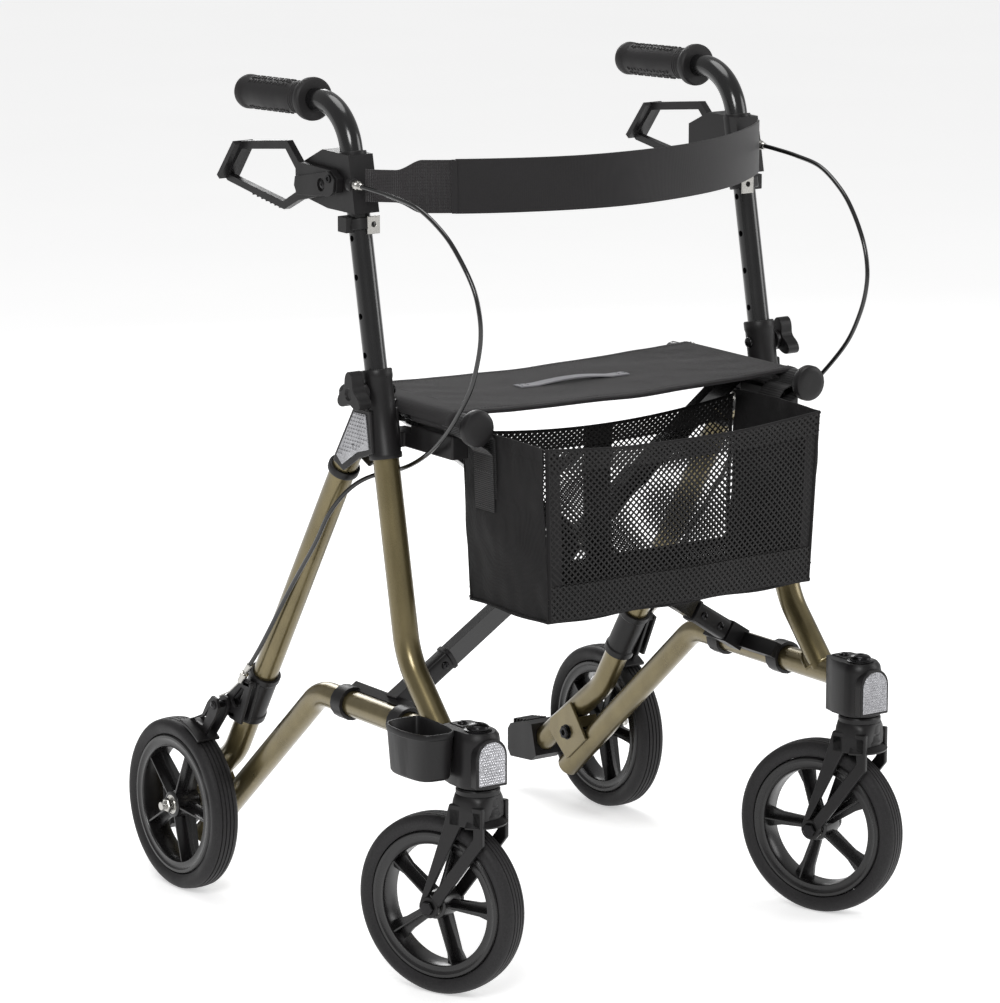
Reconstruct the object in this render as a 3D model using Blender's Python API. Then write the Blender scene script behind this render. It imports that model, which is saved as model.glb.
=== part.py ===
"""Folding four-wheeled walker with a seat, a hanging basket, a backrest strap and brakes.

Metres, +Z up. The walker faces -Y and its left-hand side in front view is -X.
The origin is on the floor below the middle of the walker's box.
"""
import math

import bmesh
import bpy
from mathutils import Matrix, Vector

# ---- driving dimensions ---------------------------------------------------
SIDE_X = 0.2611            # plane of each side frame
GAP = 0.0003               # gap between touching pieces
FRAME_TUBE_R = 0.0143      # radius of the painted frame tubes
HANDLE_TUBE_R = 0.0125     # radius of the telescoping handle tubes
TUBE_BORE_R = 0.0129       # bore of the front leg that the handle tube slides in
SLEEVE_BORE_R = 0.0149     # bore of anything that wraps a frame tube
CHEEK = 0.0042             # thickness of the socket's two cheeks
TUBE_SIDES = 16

WHEEL_R = 0.100
TYRE_HALF = 0.0168
RIM_R = 0.0817
RIM_INNER_R = 0.067
WHEEL_SIDES = 36
SPOKES = 5
FRONT_SPOKE_TURN = math.radians(18)
REAR_SPOKE_TURN = math.radians(-13)
HUB_R = 0.015
HUB_HALF = 0.0165
AXLE_R = 0.005
AXLE_BORE_R = 0.0055

REAR_WHEEL = Vector((0.3027, 0.2337, WHEEL_R))
CASTER_PIVOT = Vector((SIDE_X, -0.305, 0.0))
CASTER_TRAIL = 0.047
CASTER_TURN = math.radians(21.5)
HEAD_LOW = 0.2370
HEAD_TOP = 0.2980
HEAD_REAR = -0.2620
FORK_INNER = 0.0200
FORK_OUTER = 0.0262
CROWN_LOW = 0.2035
CROWN_R = 0.0235

HANDLE_LOW = Vector((0.0, -0.1318, 0.5600))
HANDLE_AXIS = Vector((0.0, 0.1916, 0.9815)).normalized()
HANDLE_CORNER = Vector((0.0, -0.0576, 0.9404))
GRIP_AXIS = Vector((0.0, 0.9991, -0.0413)).normalized()
GRIP_START_Y = 0.0040
GRIP_LENGTH = 0.1390
HANDLE_BEND_R = 0.060
HOUSING_INNER = 0.0150
HOUSING_OUTER = 0.0165
LEVER_PIVOT = Vector((0.0, -0.0630, 0.8570))
LEVER_X = (0.2780, 0.2860)

LOWER_TUBE_Z = 0.2750
STRUT_PIVOT = Vector((SIDE_X, 0.0, LOWER_TUBE_Z))
CROSS_Z = 0.4430           # height of the scissor's middle pin
SEAT_BAR_X = 0.2245
SEAT_BAR_Z = 0.6110
SEAT_BAR_R = 0.0100
STRUT_A_Y = -0.1260        # strut that runs from the left lower tube to the right seat bar
STRUT_B_Y = -0.1040
STRUT_HALF_WIDTH = 0.0080
STRUT_HALF_HEIGHT = 0.0105
STRUT_BOSS = 0.0450        # reach of the plastic boss that holds the strut's foot

CABLE_R = 0.0025
SHARP_ANGLE = math.radians(35)

GOLD = ("frame_gold", (0.36, 0.30, 0.16), 0.32, 0.85)
BLACK_TUBE = ("black_anodised", (0.02, 0.02, 0.022), 0.28, 0.60)
BLACK = ("black_plastic", (0.025, 0.024, 0.026), 0.50, 0.0)
RUBBER = ("tyre_rubber", (0.045, 0.043, 0.046), 0.70, 0.0)
FABRIC = ("black_fabric", (0.018, 0.018, 0.020), 0.90, 0.0)
STEEL = ("zinc_steel", (0.60, 0.59, 0.57), 0.30, 1.0)


# ---- modelling helpers ----------------------------------------------------
def finish_material(finish):
    name, colour, roughness, metallic = finish
    material = bpy.data.materials.get(name)
    if material is None:
        material = bpy.data.materials.new(name)
        material.use_nodes = True
        shader = material.node_tree.nodes["Principled BSDF"]
        shader.inputs["Base Color"].default_value = (*colour, 1.0)
        shader.inputs["Roughness"].default_value = roughness
        shader.inputs["Metallic"].default_value = metallic
    return material


def add_node(name, bm, finish, origin=(0.0, 0.0, 0.0)):
    """Turn a world-space bmesh into a named object whose origin is at its joint's axis."""
    origin = Vector(origin)
    bmesh.ops.recalc_face_normals(bm, faces=bm.faces)
    bmesh.ops.translate(bm, vec=-origin, verts=bm.verts)
    mesh = bpy.data.meshes.new(name)
    bm.to_mesh(mesh)
    bm.free()
    mesh.shade_smooth()
    mesh.set_sharp_from_angle(angle=SHARP_ANGLE)
    mesh.materials.append(finish_material(finish))
    obj = bpy.data.objects.new(name, mesh)
    obj.location = origin
    bpy.context.scene.collection.objects.link(obj)
    return obj


def combine(bm, tool, operation):
    """Boolean of two closed bmeshes; both are used up."""
    objects = []
    for shape in (bm, tool):
        bmesh.ops.recalc_face_normals(shape, faces=shape.faces)
        mesh = bpy.data.meshes.new("temporary")
        shape.to_mesh(mesh)
        shape.free()
        obj = bpy.data.objects.new("temporary", mesh)
        bpy.context.scene.collection.objects.link(obj)
        objects.append(obj)
    body, cutter = objects
    modifier = body.modifiers.new("combine", "BOOLEAN")
    modifier.solver = "EXACT"
    modifier.operation = operation
    modifier.object = cutter
    depsgraph = bpy.context.evaluated_depsgraph_get()
    result = bmesh.new()
    result.from_mesh(body.evaluated_get(depsgraph).to_mesh())
    for obj in objects:
        bpy.data.objects.remove(obj)
    return result


def union(*shapes):
    result = shapes[0]
    for shape in shapes[1:]:
        result = combine(result, shape, "UNION")
    return result


def cut(bm, *tools):
    for tool in tools:
        bm = combine(bm, tool, "DIFFERENCE")
    return bm


def loft(rings, closed=False):
    """Skin a list of equally long rings; the ends are capped unless closed into a loop."""
    bm = bmesh.new()
    loops = [[bm.verts.new(point) for point in ring] for ring in rings]
    count = len(loops[0])
    pairs = list(zip(loops, loops[1:]))
    if closed:
        pairs.append((loops[-1], loops[0]))
    for near, far in pairs:
        for i in range(count):
            j = (i + 1) % count
            bm.faces.new((near[i], near[j], far[j], far[i]))
    if not closed:
        bm.faces.new(loops[0])
        bm.faces.new(list(reversed(loops[-1])))
    return bm


def arc_corner(before, corner, after, radius, steps):
    """Points of the arc that rounds a corner of a path."""
    inward = (before - corner).normalized()
    outward = (after - corner).normalized()
    half = inward.angle(outward) / 2
    reach = radius / math.tan(half)
    centre = corner + (inward + outward).normalized() * (radius / math.sin(half))
    start = corner + inward * reach - centre
    axis = start.cross(corner + outward * reach - centre).normalized()
    sweep = math.pi - 2 * half
    return [centre + Matrix.Rotation(sweep * i / steps, 3, axis) @ start for i in range(steps + 1)]


def rounded_path(corners, radii, steps=5):
    """A path through corners, with an arc of the given radius at each inner one."""
    points = [corners[0]]
    for i, radius in enumerate(radii, start=1):
        points += arc_corner(corners[i - 1], corners[i], corners[i + 1], radius, steps)
    points.append(corners[-1])
    return points


def tube(points, radius, sides=TUBE_SIDES):
    """A round bar along a path that lies in a plane of constant x."""
    rings = []
    across = Vector((1.0, 0.0, 0.0))
    for i, point in enumerate(points):
        ahead = points[min(i + 1, len(points) - 1)] - point
        behind = point - points[max(i - 1, 0)]
        if ahead.length > 0 and behind.length > 0:
            tangent = (ahead.normalized() + behind.normalized()).normalized()
        else:
            tangent = (ahead + behind).normalized()
        normal = across.cross(tangent)
        ring = []
        for k in range(sides):
            angle = 2 * math.pi * k / sides
            ring.append(point + across * (radius * math.cos(angle)) + normal * (radius * math.sin(angle)))
        rings.append(ring)
    return loft(rings)


def turned(profile, start, axis, sides=TUBE_SIDES, ring=False):
    """Turn (radius, distance) points about an axis. A ring's profile is a closed loop."""
    axis = Vector(axis).normalized()
    across = Vector((1.0, 0.0, 0.0)) if abs(axis.x) < 0.9 else Vector((0.0, 1.0, 0.0))
    across = (across - axis * across.dot(axis)).normalized()
    normal = axis.cross(across)
    rings = []
    for radius, distance in profile:
        centre = Vector(start) + axis * distance
        angles = [2 * math.pi * k / sides for k in range(sides)]
        rings.append([centre + (across * math.cos(a) + normal * math.sin(a)) * radius for a in angles])
    bm = loft(rings, closed=ring)
    return bm


def bar(start, end, radius, sides=TUBE_SIDES):
    start = Vector(start)
    length = (Vector(end) - start).length
    return turned([(radius, 0.0), (radius, length)], start, Vector(end) - start, sides)


def box(low, high):
    low, high = Vector(low), Vector(high)
    rings = []
    for z in (low.z, high.z):
        rings.append([Vector((low.x, low.y, z)), Vector((high.x, low.y, z)),
                      Vector((high.x, high.y, z)), Vector((low.x, high.y, z))])
    return loft(rings)


def plate(outline, low_x, high_x):
    """A flat (y, z) outline with thickness along x."""
    return loft([[Vector((x, y, z)) for y, z in outline] for x in (low_x, high_x)])


def moved(bm, matrix):
    bmesh.ops.transform(bm, matrix=matrix, verts=bm.verts)
    return bm


def on_side(bm, sign):
    """Shapes are drawn for the +X side; the other side is their mirror image."""
    if sign < 0:
        moved(bm, Matrix.Scale(-1.0, 4, Vector((1.0, 0.0, 0.0))))
    return bm


def side_point(point, sign):
    return Vector((sign * point[0], point[1], point[2]))


def frame_point(y, z):
    return Vector((SIDE_X, y, z))


# ---- side frames ----------------------------------------------------------
LOWER_TUBE_PATH = rounded_path(
    [frame_point(HEAD_REAR + GAP, LOWER_TUBE_Z), frame_point(0.001, LOWER_TUBE_Z), frame_point(0.2540, 0.0510)],
    [0.055])
REAR_LEG_TOP = frame_point(-0.0720, 0.5770)
REAR_LEG_BEND = frame_point(0.1830, 0.1680)
REAR_LEG_END = frame_point(0.3140, 0.0660)
REAR_LEG_BEND_R = 0.080
HANDLE_OFFSET = Vector((SIDE_X, 0.0, 0.0))


def handle_line(distance):
    return HANDLE_OFFSET + HANDLE_LOW + HANDLE_AXIS * distance


def handle_at_height(z):
    return handle_line((z - HANDLE_LOW.z) / HANDLE_AXIS.z)


def front_leg(sign):
    leg_top = handle_at_height(0.6520)
    path = rounded_path([leg_top, handle_at_height(0.3500), frame_point(-0.2440, 0.2700)], [0.090])
    leg = tube(path, FRAME_TUBE_R)
    bore = bar(handle_at_height(0.4000), handle_at_height(0.7000), TUBE_BORE_R)
    lower_tube = bar(frame_point(-0.33, LOWER_TUBE_Z), frame_point(-0.05, LOWER_TUBE_Z), FRAME_TUBE_R + GAP, 24)
    return on_side(keep_largest(cut(leg, bore, lower_tube)), sign)


def keep_largest(bm):
    """Drop any offcut that a cut left behind."""
    unvisited = set(bm.verts)
    islands = []
    while unvisited:
        stack = [unvisited.pop()]
        island = set(stack)
        while stack:
            vert = stack.pop()
            for edge in vert.link_edges:
                other = edge.other_vert(vert)
                if other in unvisited:
                    unvisited.remove(other)
                    island.add(other)
                    stack.append(other)
        islands.append(island)
    islands.sort(key=len)
    for island in islands[:-1]:
        bmesh.ops.delete(bm, geom=list(island), context="VERTS")
    return bm


def lower_tube(sign):
    return on_side(tube(LOWER_TUBE_PATH, FRAME_TUBE_R), sign)


def rear_leg_shape(radius, past_end):
    """The rear leg's path at any radius; past_end lengthens its tail."""
    end = REAR_LEG_END + (REAR_LEG_END - REAR_LEG_BEND).normalized() * past_end
    return tube(rounded_path([REAR_LEG_TOP, REAR_LEG_BEND, end], [REAR_LEG_BEND_R]), radius)


def rear_leg(sign):
    return on_side(rear_leg_shape(FRAME_TUBE_R, 0.0), sign)


def socket(sign):
    """Sleeve over the front leg's top, with two cheeks that hold the rear leg's top."""
    sleeve = bar(handle_at_height(0.5626), handle_at_height(0.6580), 0.0168)
    cheek_outline = [(-0.1290, 0.6155), (-0.0960, 0.6150), (-0.0560, 0.5540), (-0.0740, 0.5430),
                     (-0.1060, 0.5620), (-0.1330, 0.5700)]
    inner = FRAME_TUBE_R + GAP
    shape = union(sleeve,
                  plate(cheek_outline, SIDE_X + inner, SIDE_X + inner + CHEEK),
                  plate(cheek_outline, SIDE_X - inner - CHEEK, SIDE_X - inner))
    bore = bar(handle_at_height(0.5400), handle_at_height(0.6800), SLEEVE_BORE_R)
    return on_side(cut(shape, bore), sign)


def axle_bracket(sign):
    """Block between the two tubes at the rear axle, with a plate on their inner side."""
    along = Vector((0.0, 0.7700, -0.6380)).normalized()
    across = Vector((0.0, 0.6380, 0.7700)).normalized()
    centre = Vector((0.0, REAR_WHEEL.y, REAR_WHEEL.z))

    def outline(points):
        corners = [centre + along * u + across * v for u, v in points]
        return [(corner.y, corner.z) for corner in corners]

    block = plate(outline([(-0.026, -0.0080), (0.020, -0.0080), (0.020, 0.0068), (-0.026, 0.0068)]),
                  SIDE_X - 0.0180, SIDE_X + 0.0150)
    cover = plate(outline([(-0.030, -0.026), (0.022, -0.026), (0.032, 0.020), (0.020, 0.030), (-0.030, 0.026)]),
                  SIDE_X - 0.0182, SIDE_X - FRAME_TUBE_R - GAP)
    shape = union(block, cover)
    bore = bar((SIDE_X - 0.05, centre.y, centre.z), (SIDE_X + 0.05, centre.y, centre.z), AXLE_BORE_R)
    return on_side(cut(shape, bore), sign)


def kerb_pedal(sign):
    """Plastic cap on the rear leg's end, used as a foot lever to climb a kerb."""
    reach = front_extent()
    outline = [(0.2960, 0.0560), (0.3060, 0.0480), (reach - 0.006, 0.0440), (reach, 0.0520),
               (reach, 0.0780), (reach - 0.006, 0.0860), (0.3160, 0.0960), (0.3060, 0.0940)]
    cap = plate(outline, SIDE_X - 0.0195, SIDE_X + 0.0195)
    return on_side(cut(cap, rear_leg_shape(SLEEVE_BORE_R, 2 * GAP)), sign)


# ---- casters and wheels ---------------------------------------------------
TYRE_PROFILE = [(0.0820, -0.0135), (0.0920, -TYRE_HALF), (0.0975, -0.0125), (WHEEL_R, -0.0050),
                (WHEEL_R, 0.0050), (0.0975, 0.0125), (0.0920, TYRE_HALF), (0.0820, 0.0135)]


def front_extent():
    """Distance of the caster wheels' foremost point from the origin."""
    reach = max(r * math.cos(CASTER_TURN) + x * math.sin(CASTER_TURN) for r, x in TYRE_PROFILE)
    return reach - (CASTER_PIVOT.y + CASTER_TRAIL * math.cos(CASTER_TURN))


def caster_matrix(sign):
    return Matrix.Translation(side_point(CASTER_PIVOT, sign)) @ Matrix.Rotation(CASTER_TURN, 4, "Z")


def rear_matrix(sign):
    return Matrix.Translation(side_point(REAR_WHEEL, sign))


def front_matrix(sign):
    return caster_matrix(sign) @ Matrix.Translation((0.0, CASTER_TRAIL, WHEEL_R))


def tyre():
    return turned(TYRE_PROFILE, (0.0, 0.0, 0.0), (1.0, 0.0, 0.0), WHEEL_SIDES, ring=True)


def rim(turn):
    """Ring, five spokes and a bored hub in one moulding, turned about the axle."""
    ring_profile = [(RIM_R, -0.0130), (RIM_INNER_R, -0.0145), (RIM_INNER_R - 0.002, 0.0),
                    (RIM_INNER_R, 0.0145), (RIM_R, 0.0130)]
    shape = turned(ring_profile, (0.0, 0.0, 0.0), (1.0, 0.0, 0.0), WHEEL_SIDES, ring=True)
    outline = []
    for i in range(SPOKES):
        angle = 2 * math.pi * i / SPOKES - math.pi / 2 + turn
        out = Vector((math.cos(angle), math.sin(angle)))
        side = Vector((-out.y, out.x))
        for reach, half in ((0.010, -0.0058), (0.0685, -0.0085), (0.0685, 0.0085), (0.010, 0.0058)):
            point = out * reach + side * half
            outline.append((point.x, point.y))
    shape = union(shape, plate(outline, -0.0095, 0.0095),
                  bar((-HUB_HALF, 0.0, 0.0), (HUB_HALF, 0.0, 0.0), HUB_R))
    return cut(shape, bar((-0.05, 0.0, 0.0), (0.05, 0.0, 0.0), AXLE_BORE_R))


def front_axle():
    head = FORK_OUTER + GAP
    profile = [(0.0085, -head - 0.0040), (0.0085, -head), (AXLE_R, -head), (AXLE_R, head),
               (0.0085, head), (0.0085, head + 0.0040)]
    return turned(profile, (0.0, 0.0, 0.0), (1.0, 0.0, 0.0))


def rear_axle():
    """Bolt with its head inside the frame, a spacer before the wheel and a nut outside it."""
    inner = SIDE_X - 0.0182 - GAP - REAR_WHEEL.x
    spacer = SIDE_X + 0.0150 + GAP - REAR_WHEEL.x
    hub = HUB_HALF + GAP
    profile = [(0.0085, inner - 0.0055), (0.0085, inner), (AXLE_R, inner), (AXLE_R, spacer),
               (0.0090, spacer), (0.0090, -hub), (AXLE_R, -hub), (AXLE_R, hub),
               (0.0085, hub), (0.0085, hub + 0.0065), (AXLE_R, hub + 0.0065), (AXLE_R, 0.0308)]
    return turned(profile, (0.0, 0.0, 0.0), (1.0, 0.0, 0.0))


def caster_head(sign):
    """Steering head on the front of the side frame, bored for the caster's bolt."""
    front = turned([(0.0250, HEAD_LOW), (0.0250, HEAD_TOP)], (SIDE_X, CASTER_PIVOT.y, 0.0), (0.0, 0.0, 1.0), 20)
    back = box((SIDE_X - 0.0170, CASTER_PIVOT.y, 0.2560), (SIDE_X + 0.0170, HEAD_REAR, HEAD_TOP))
    bore = bar((SIDE_X, CASTER_PIVOT.y, 0.20), (SIDE_X, CASTER_PIVOT.y, 0.32), AXLE_BORE_R)
    return on_side(cut(union(front, back), bore), sign)


def caster_bolt(sign):
    low = 0.2150
    profile = [(AXLE_R, low), (AXLE_R, HEAD_TOP + GAP), (0.0125, HEAD_TOP + GAP), (0.0110, 0.3030),
               (0.0060, 0.3055)]
    return on_side(turned(profile, (SIDE_X, CASTER_PIVOT.y, 0.0), (0.0, 0.0, 1.0)), sign)


def caster_fork():
    """Crown and two trailing legs, drawn with the steering axis at x = y = 0."""
    crown_top = HEAD_LOW - 0.0005
    crown = turned([(CROWN_R, CROWN_LOW), (CROWN_R, crown_top)], (0.0, 0.0, 0.0), (0.0, 0.0, 1.0), 20)
    shoulder = box((-FORK_OUTER, -0.0200, CROWN_LOW), (FORK_OUTER, 0.0200, 0.2200))
    boss = 0.0120
    outline = [(-0.0220, 0.2200), (-0.0220, 0.1750)]
    for step in range(7):
        angle = math.radians(200 + 27 * step)
        outline.append((CASTER_TRAIL + boss * math.cos(angle), WHEEL_R + boss * math.sin(angle)))
    outline += [(0.0330, 0.1900), (0.0200, 0.2200)]
    shape = union(crown, shoulder, plate(outline, -FORK_OUTER, -FORK_INNER),
                  plate(outline, FORK_INNER, FORK_OUTER))
    axle = bar((-0.05, CASTER_TRAIL, WHEEL_R), (0.05, CASTER_TRAIL, WHEEL_R), AXLE_BORE_R)
    stem = bar((0.0, 0.0, 0.2140), (0.0, 0.0, 0.2500), AXLE_BORE_R)
    return cut(shape, axle, stem)


# ---- handles and brakes ---------------------------------------------------
def handle_path():
    corner = HANDLE_OFFSET + HANDLE_CORNER
    end = corner + GRIP_AXIS * (GRIP_START_Y - HANDLE_CORNER.y + 0.1250)
    return rounded_path([HANDLE_OFFSET + HANDLE_LOW, corner, end], [HANDLE_BEND_R], 8)


def handle_tube(sign):
    return on_side(tube(handle_path(), HANDLE_TUBE_R), sign)


def grip(sign):
    start = HANDLE_OFFSET + HANDLE_CORNER + GRIP_AXIS * (GRIP_START_Y - HANDLE_CORNER.y)
    outer = [(0.0215, 0.0), (0.0240, 0.0035), (0.0240, 0.0110), (0.0185, 0.0170), (0.0170, 0.0300),
             (0.0175, 0.1000), (0.0190, 0.1300), (0.0160, GRIP_LENGTH)]
    shape = turned(outer, start, GRIP_AXIS)
    bore = bar(start - GRIP_AXIS * 0.01, start + GRIP_AXIS * 0.1270, TUBE_BORE_R + GAP / 2)
    return on_side(cut(shape, bore), sign)


def lever_housing(sign):
    outline = [(-0.0985, 0.8260), (-0.0860, 0.8880), (-0.0350, 0.8890), (0.0020, 0.8720), (0.0020, 0.8330),
               (-0.0450, 0.8260)]
    shape = plate(outline, SIDE_X - HOUSING_INNER, SIDE_X + HOUSING_OUTER)
    return on_side(cut(shape, bar(handle_at_height(0.80), handle_at_height(0.92), TUBE_BORE_R)), sign)


def brake_lever(sign):
    """Closed loop lever on the housing's outer side, with a wide finger bar at its tip."""
    outer = [(-0.0750, 0.8470), (-0.0770, 0.8620), (-0.0640, 0.8700), (0.0000, 0.8720), (0.0230, 0.8925),
             (0.1200, 0.8810), (0.1540, 0.8400), (0.1470, 0.8340), (0.0300, 0.8160), (0.0000, 0.8300)]
    inner = [(0.0060, 0.8640), (0.0260, 0.8830), (0.1160, 0.8725), (0.1430, 0.8410), (0.0320, 0.8250),
             (0.0060, 0.8380)]
    loop = cut(plate(outer, *LEVER_X), plate(inner, LEVER_X[0] - 0.01, LEVER_X[1] + 0.01))
    middle = sum(LEVER_X) / 2
    tip = [(0.1150, 0.8785), (0.1200, 0.8815), (0.1545, 0.8400), (0.1490, 0.8360)]
    return on_side(union(loop, plate(tip, middle - 0.013, middle + 0.013)), sign)


def brake_body(sign):
    """Clamp on the rear leg that holds the brake cable's end, the shoe's pivot and its guard."""
    along = (REAR_LEG_BEND - REAR_LEG_TOP).normalized()
    top = REAR_LEG_TOP + along * 0.3560
    sleeve = bar(top, top + along * 0.0800, 0.0185)
    arm = plate([(0.1120, 0.2600), (0.1260, 0.2660), (0.1450, 0.2520), (0.1720, 0.2300), (0.1640, 0.2120),
                 (0.1400, 0.2180)], SIDE_X + 0.0100, 0.2870)
    shape = cut(union(sleeve, arm), bar(top - along * 0.02, top + along * 0.10, SLEEVE_BORE_R))
    return on_side(shape, sign)


BRAKE_PIVOT = Vector((0.2870 + GAP, 0.1600, 0.2320))


def brake_arm(sign):
    """Shoe that follows the tyre, on an arm hinged to the brake body."""
    centre = (REAR_WHEEL.y, REAR_WHEEL.z)

    def on_tyre(radius, degrees):
        angle = math.radians(degrees)
        return (centre[0] + radius * math.cos(angle), centre[1] + radius * math.sin(angle))

    outline = [on_tyre(0.1025, degrees) for degrees in (100, 106, 112, 118, 124)]
    outline += [(0.1600, 0.2040), (0.1480, 0.2240), (0.1500, 0.2400), (0.1620, 0.2440), (0.1740, 0.2340),
                on_tyre(0.1130, 112), on_tyre(0.1080, 100)]
    return on_side(plate(outline, BRAKE_PIVOT.x, BRAKE_PIVOT.x + 0.0300), sign)


CABLE_ROUTE = [
    (0.2730, -0.0940, 0.8565), (0.2728, -0.1250, 0.8550), (0.2715, -0.1650, 0.8520),
    (0.2700, -0.2100, 0.8450), (0.2670, -0.2500, 0.8250), (0.2645, -0.2760, 0.8020),
    (0.2615, -0.2980, 0.7720), (0.2600, -0.3070, 0.7450), (0.2585, -0.3070, 0.7200),
    (0.2570, -0.2990, 0.6930), (0.2545, -0.2830, 0.6620), (0.2515, -0.2570, 0.6320),
    (0.2480, -0.2250, 0.6020), (0.2450, -0.1900, 0.5770), (0.2425, -0.1560, 0.5590),
    (0.2410, -0.1250, 0.5470), (0.2450, -0.1020, 0.5400), (0.2540, -0.0850, 0.5330),
    (0.2640, -0.0720, 0.5230), (0.2730, -0.0580, 0.5070), (0.2785, -0.0400, 0.4830),
    (0.2790, -0.0150, 0.4480), (0.2800, 0.0355, 0.3870), (0.2840, 0.0897, 0.3132),
    (0.2885, 0.1150, 0.2790)]


def smooth_route(points, steps=2):
    """Points on a Catmull-Rom curve through a route."""
    points = [Vector(point) for point in points]
    padded = [2 * points[0] - points[1]] + points + [2 * points[-1] - points[-2]]
    result = []
    for a, b, c, d in zip(padded, padded[1:], padded[2:], padded[3:]):
        for i in range(steps):
            t = i / steps
            result.append(0.5 * (2 * b + (c - a) * t + (2 * a - 5 * b + 4 * c - d) * t * t
                                 + (3 * b - a - 3 * c + d) * t ** 3))
    result.append(points[-1])
    return result


def add_cable(name, sign):
    curve = bpy.data.curves.new(name, "CURVE")
    curve.dimensions = "3D"
    curve.bevel_depth = CABLE_R
    curve.bevel_resolution = 2
    curve.use_fill_caps = True
    points = smooth_route([side_point(point, sign) for point in CABLE_ROUTE])
    spline = curve.splines.new("POLY")
    spline.points.add(len(points) - 1)
    for target, point in zip(spline.points, points):
        target.co = (*point, 1.0)
    curve.materials.append(finish_material(BLACK))
    bpy.context.scene.collection.objects.link(bpy.data.objects.new(name, curve))


def wing_knob_pivot():
    return handle_at_height(0.6350) + Vector((0.0168 + GAP, 0.0, 0.0))


def wing_knob(sign):
    """Three-lobed knob on a round hub."""
    pivot = wing_knob_pivot()
    hub = bar(pivot, pivot + Vector((0.0120, 0.0, 0.0)), 0.0100)
    outline = []
    for i in range(24):
        angle = 2 * math.pi * i / 24 + math.pi / 2
        lobe = 0.5 + 0.5 * math.cos(3 * (angle - math.pi / 2))
        radius = 0.0115 + 0.0130 * lobe ** 1.5
        outline.append((pivot.y + radius * math.cos(angle), pivot.z + radius * math.sin(angle)))
    wings = plate(outline, pivot.x + 0.0060, pivot.x + 0.0220)
    return on_side(union(hub, wings), sign)


def stick_holder():
    """Open cup with a flat inner side, outboard of the left caster head."""
    outer = [(-0.2790, -0.2250), (-0.2790, -0.2740), (-0.2865, -0.2985), (-0.3050, -0.3020), (-0.3250, -0.2940),
             (-0.3325, -0.2620), (-0.3290, -0.2300), (-0.3150, -0.2190), (-0.2900, -0.2180)]
    centre = Vector((-0.3050, -0.2600))

    def ring(z, shrink):
        points = []
        for x, y in outer:
            offset = Vector((x, y)) - centre
            offset *= 1.0 - shrink / offset.length
            points.append(Vector((centre.x + offset.x, centre.y + offset.y, z)))
        return points

    return loft([ring(0.2460, 0.0040), ring(0.2990, 0.0), ring(0.2990, 0.0025), ring(0.2490, 0.0065)])


# ---- scissor, seat and soft parts ----------------------------------------
def strut_direction():
    return Vector((-SIDE_X, 0.0, CROSS_Z - LOWER_TUBE_Z)).normalized()


def strut_sleeve(sign):
    """Two collars round the lower tube, a bridge between them and a boss for the strut's foot."""
    direction = strut_direction()
    strut_y = STRUT_A_Y if sign < 0 else STRUT_B_Y
    outer_r = 0.0190
    collars = []
    for low, high in ((-0.1750, -0.1560), (-0.0640, -0.0450)):
        collars.append(bar((SIDE_X, low, LOWER_TUBE_Z), (SIDE_X, high, LOWER_TUBE_Z), outer_r))
    turn = Matrix.Translation(STRUT_PIVOT) @ Matrix.Rotation(math.atan2(direction.z, -direction.x), 4, "Y")
    bridge = moved(box((-0.0240, -0.1740, -0.0090), (-0.0100, -0.0460, 0.0090)), turn)
    boss = moved(box((-STRUT_BOSS, strut_y - 0.0100, -0.0130), (-0.0180, strut_y + 0.0100, 0.0130)), turn)
    shape = union(bridge, boss, *collars)
    bore = bar((SIDE_X, -0.30, LOWER_TUBE_Z), (SIDE_X, 0.05, LOWER_TUBE_Z), SLEEVE_BORE_R)
    return on_side(cut(shape, bore), sign)


def strut(sign, middle_y):
    """Scissor strut from the lower tube on one side (sign) up to the seat bar on the other."""
    foot = STRUT_PIVOT + strut_direction() * (STRUT_BOSS + GAP)
    middle = Vector((0.0, 0.0, CROSS_Z))
    top = Vector((-SEAT_BAR_X, 0.0, SEAT_BAR_Z))
    rings = []
    path = [foot, middle, top]
    directions = [(middle - foot).normalized(), (top - foot).normalized(), (top - middle).normalized()]
    for point, direction in zip(path, directions):
        up = Vector((direction.z, 0.0, -direction.x)) * STRUT_HALF_HEIGHT
        wide = Vector((0.0, STRUT_HALF_WIDTH, 0.0))
        ring = [point + wide + up, point - wide + up, point - wide - up, point + wide - up]
        rings.append([corner + Vector((0.0, middle_y, 0.0)) for corner in ring])
    ring_start = top + Vector((0.0, middle_y - STRUT_HALF_WIDTH, 0.0))
    end_ring = bar(ring_start, ring_start + Vector((0.0, 2 * STRUT_HALF_WIDTH, 0.0)), 0.0145)
    shape = union(loft(rings), end_ring)
    bar_bore = bar(top - Vector((0.0, 0.2, 0.0)), top + Vector((0.0, 0.1, 0.0)), SEAT_BAR_R + 0.0006)
    pin_bore = bar(middle - Vector((0.0, 0.2, 0.0)), middle + Vector((0.0, 0.1, 0.0)), AXLE_BORE_R)
    above_bar = box((-0.30, -0.20, SEAT_BAR_Z + SEAT_BAR_R + GAP), (-0.15, 0.0, 0.70))
    return on_side(cut(shape, bar_bore, pin_bore, above_bar), sign)


def cross_pivot():
    low = STRUT_A_Y - STRUT_HALF_WIDTH - GAP
    high = STRUT_B_Y + STRUT_HALF_WIDTH + GAP
    profile = [(0.0090, low - 0.0030), (0.0090, low), (AXLE_R, low), (AXLE_R, high), (0.0090, high),
               (0.0090, high + 0.0030)]
    return turned(profile, (0.0, 0.0, CROSS_Z), (0.0, 1.0, 0.0))


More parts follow.
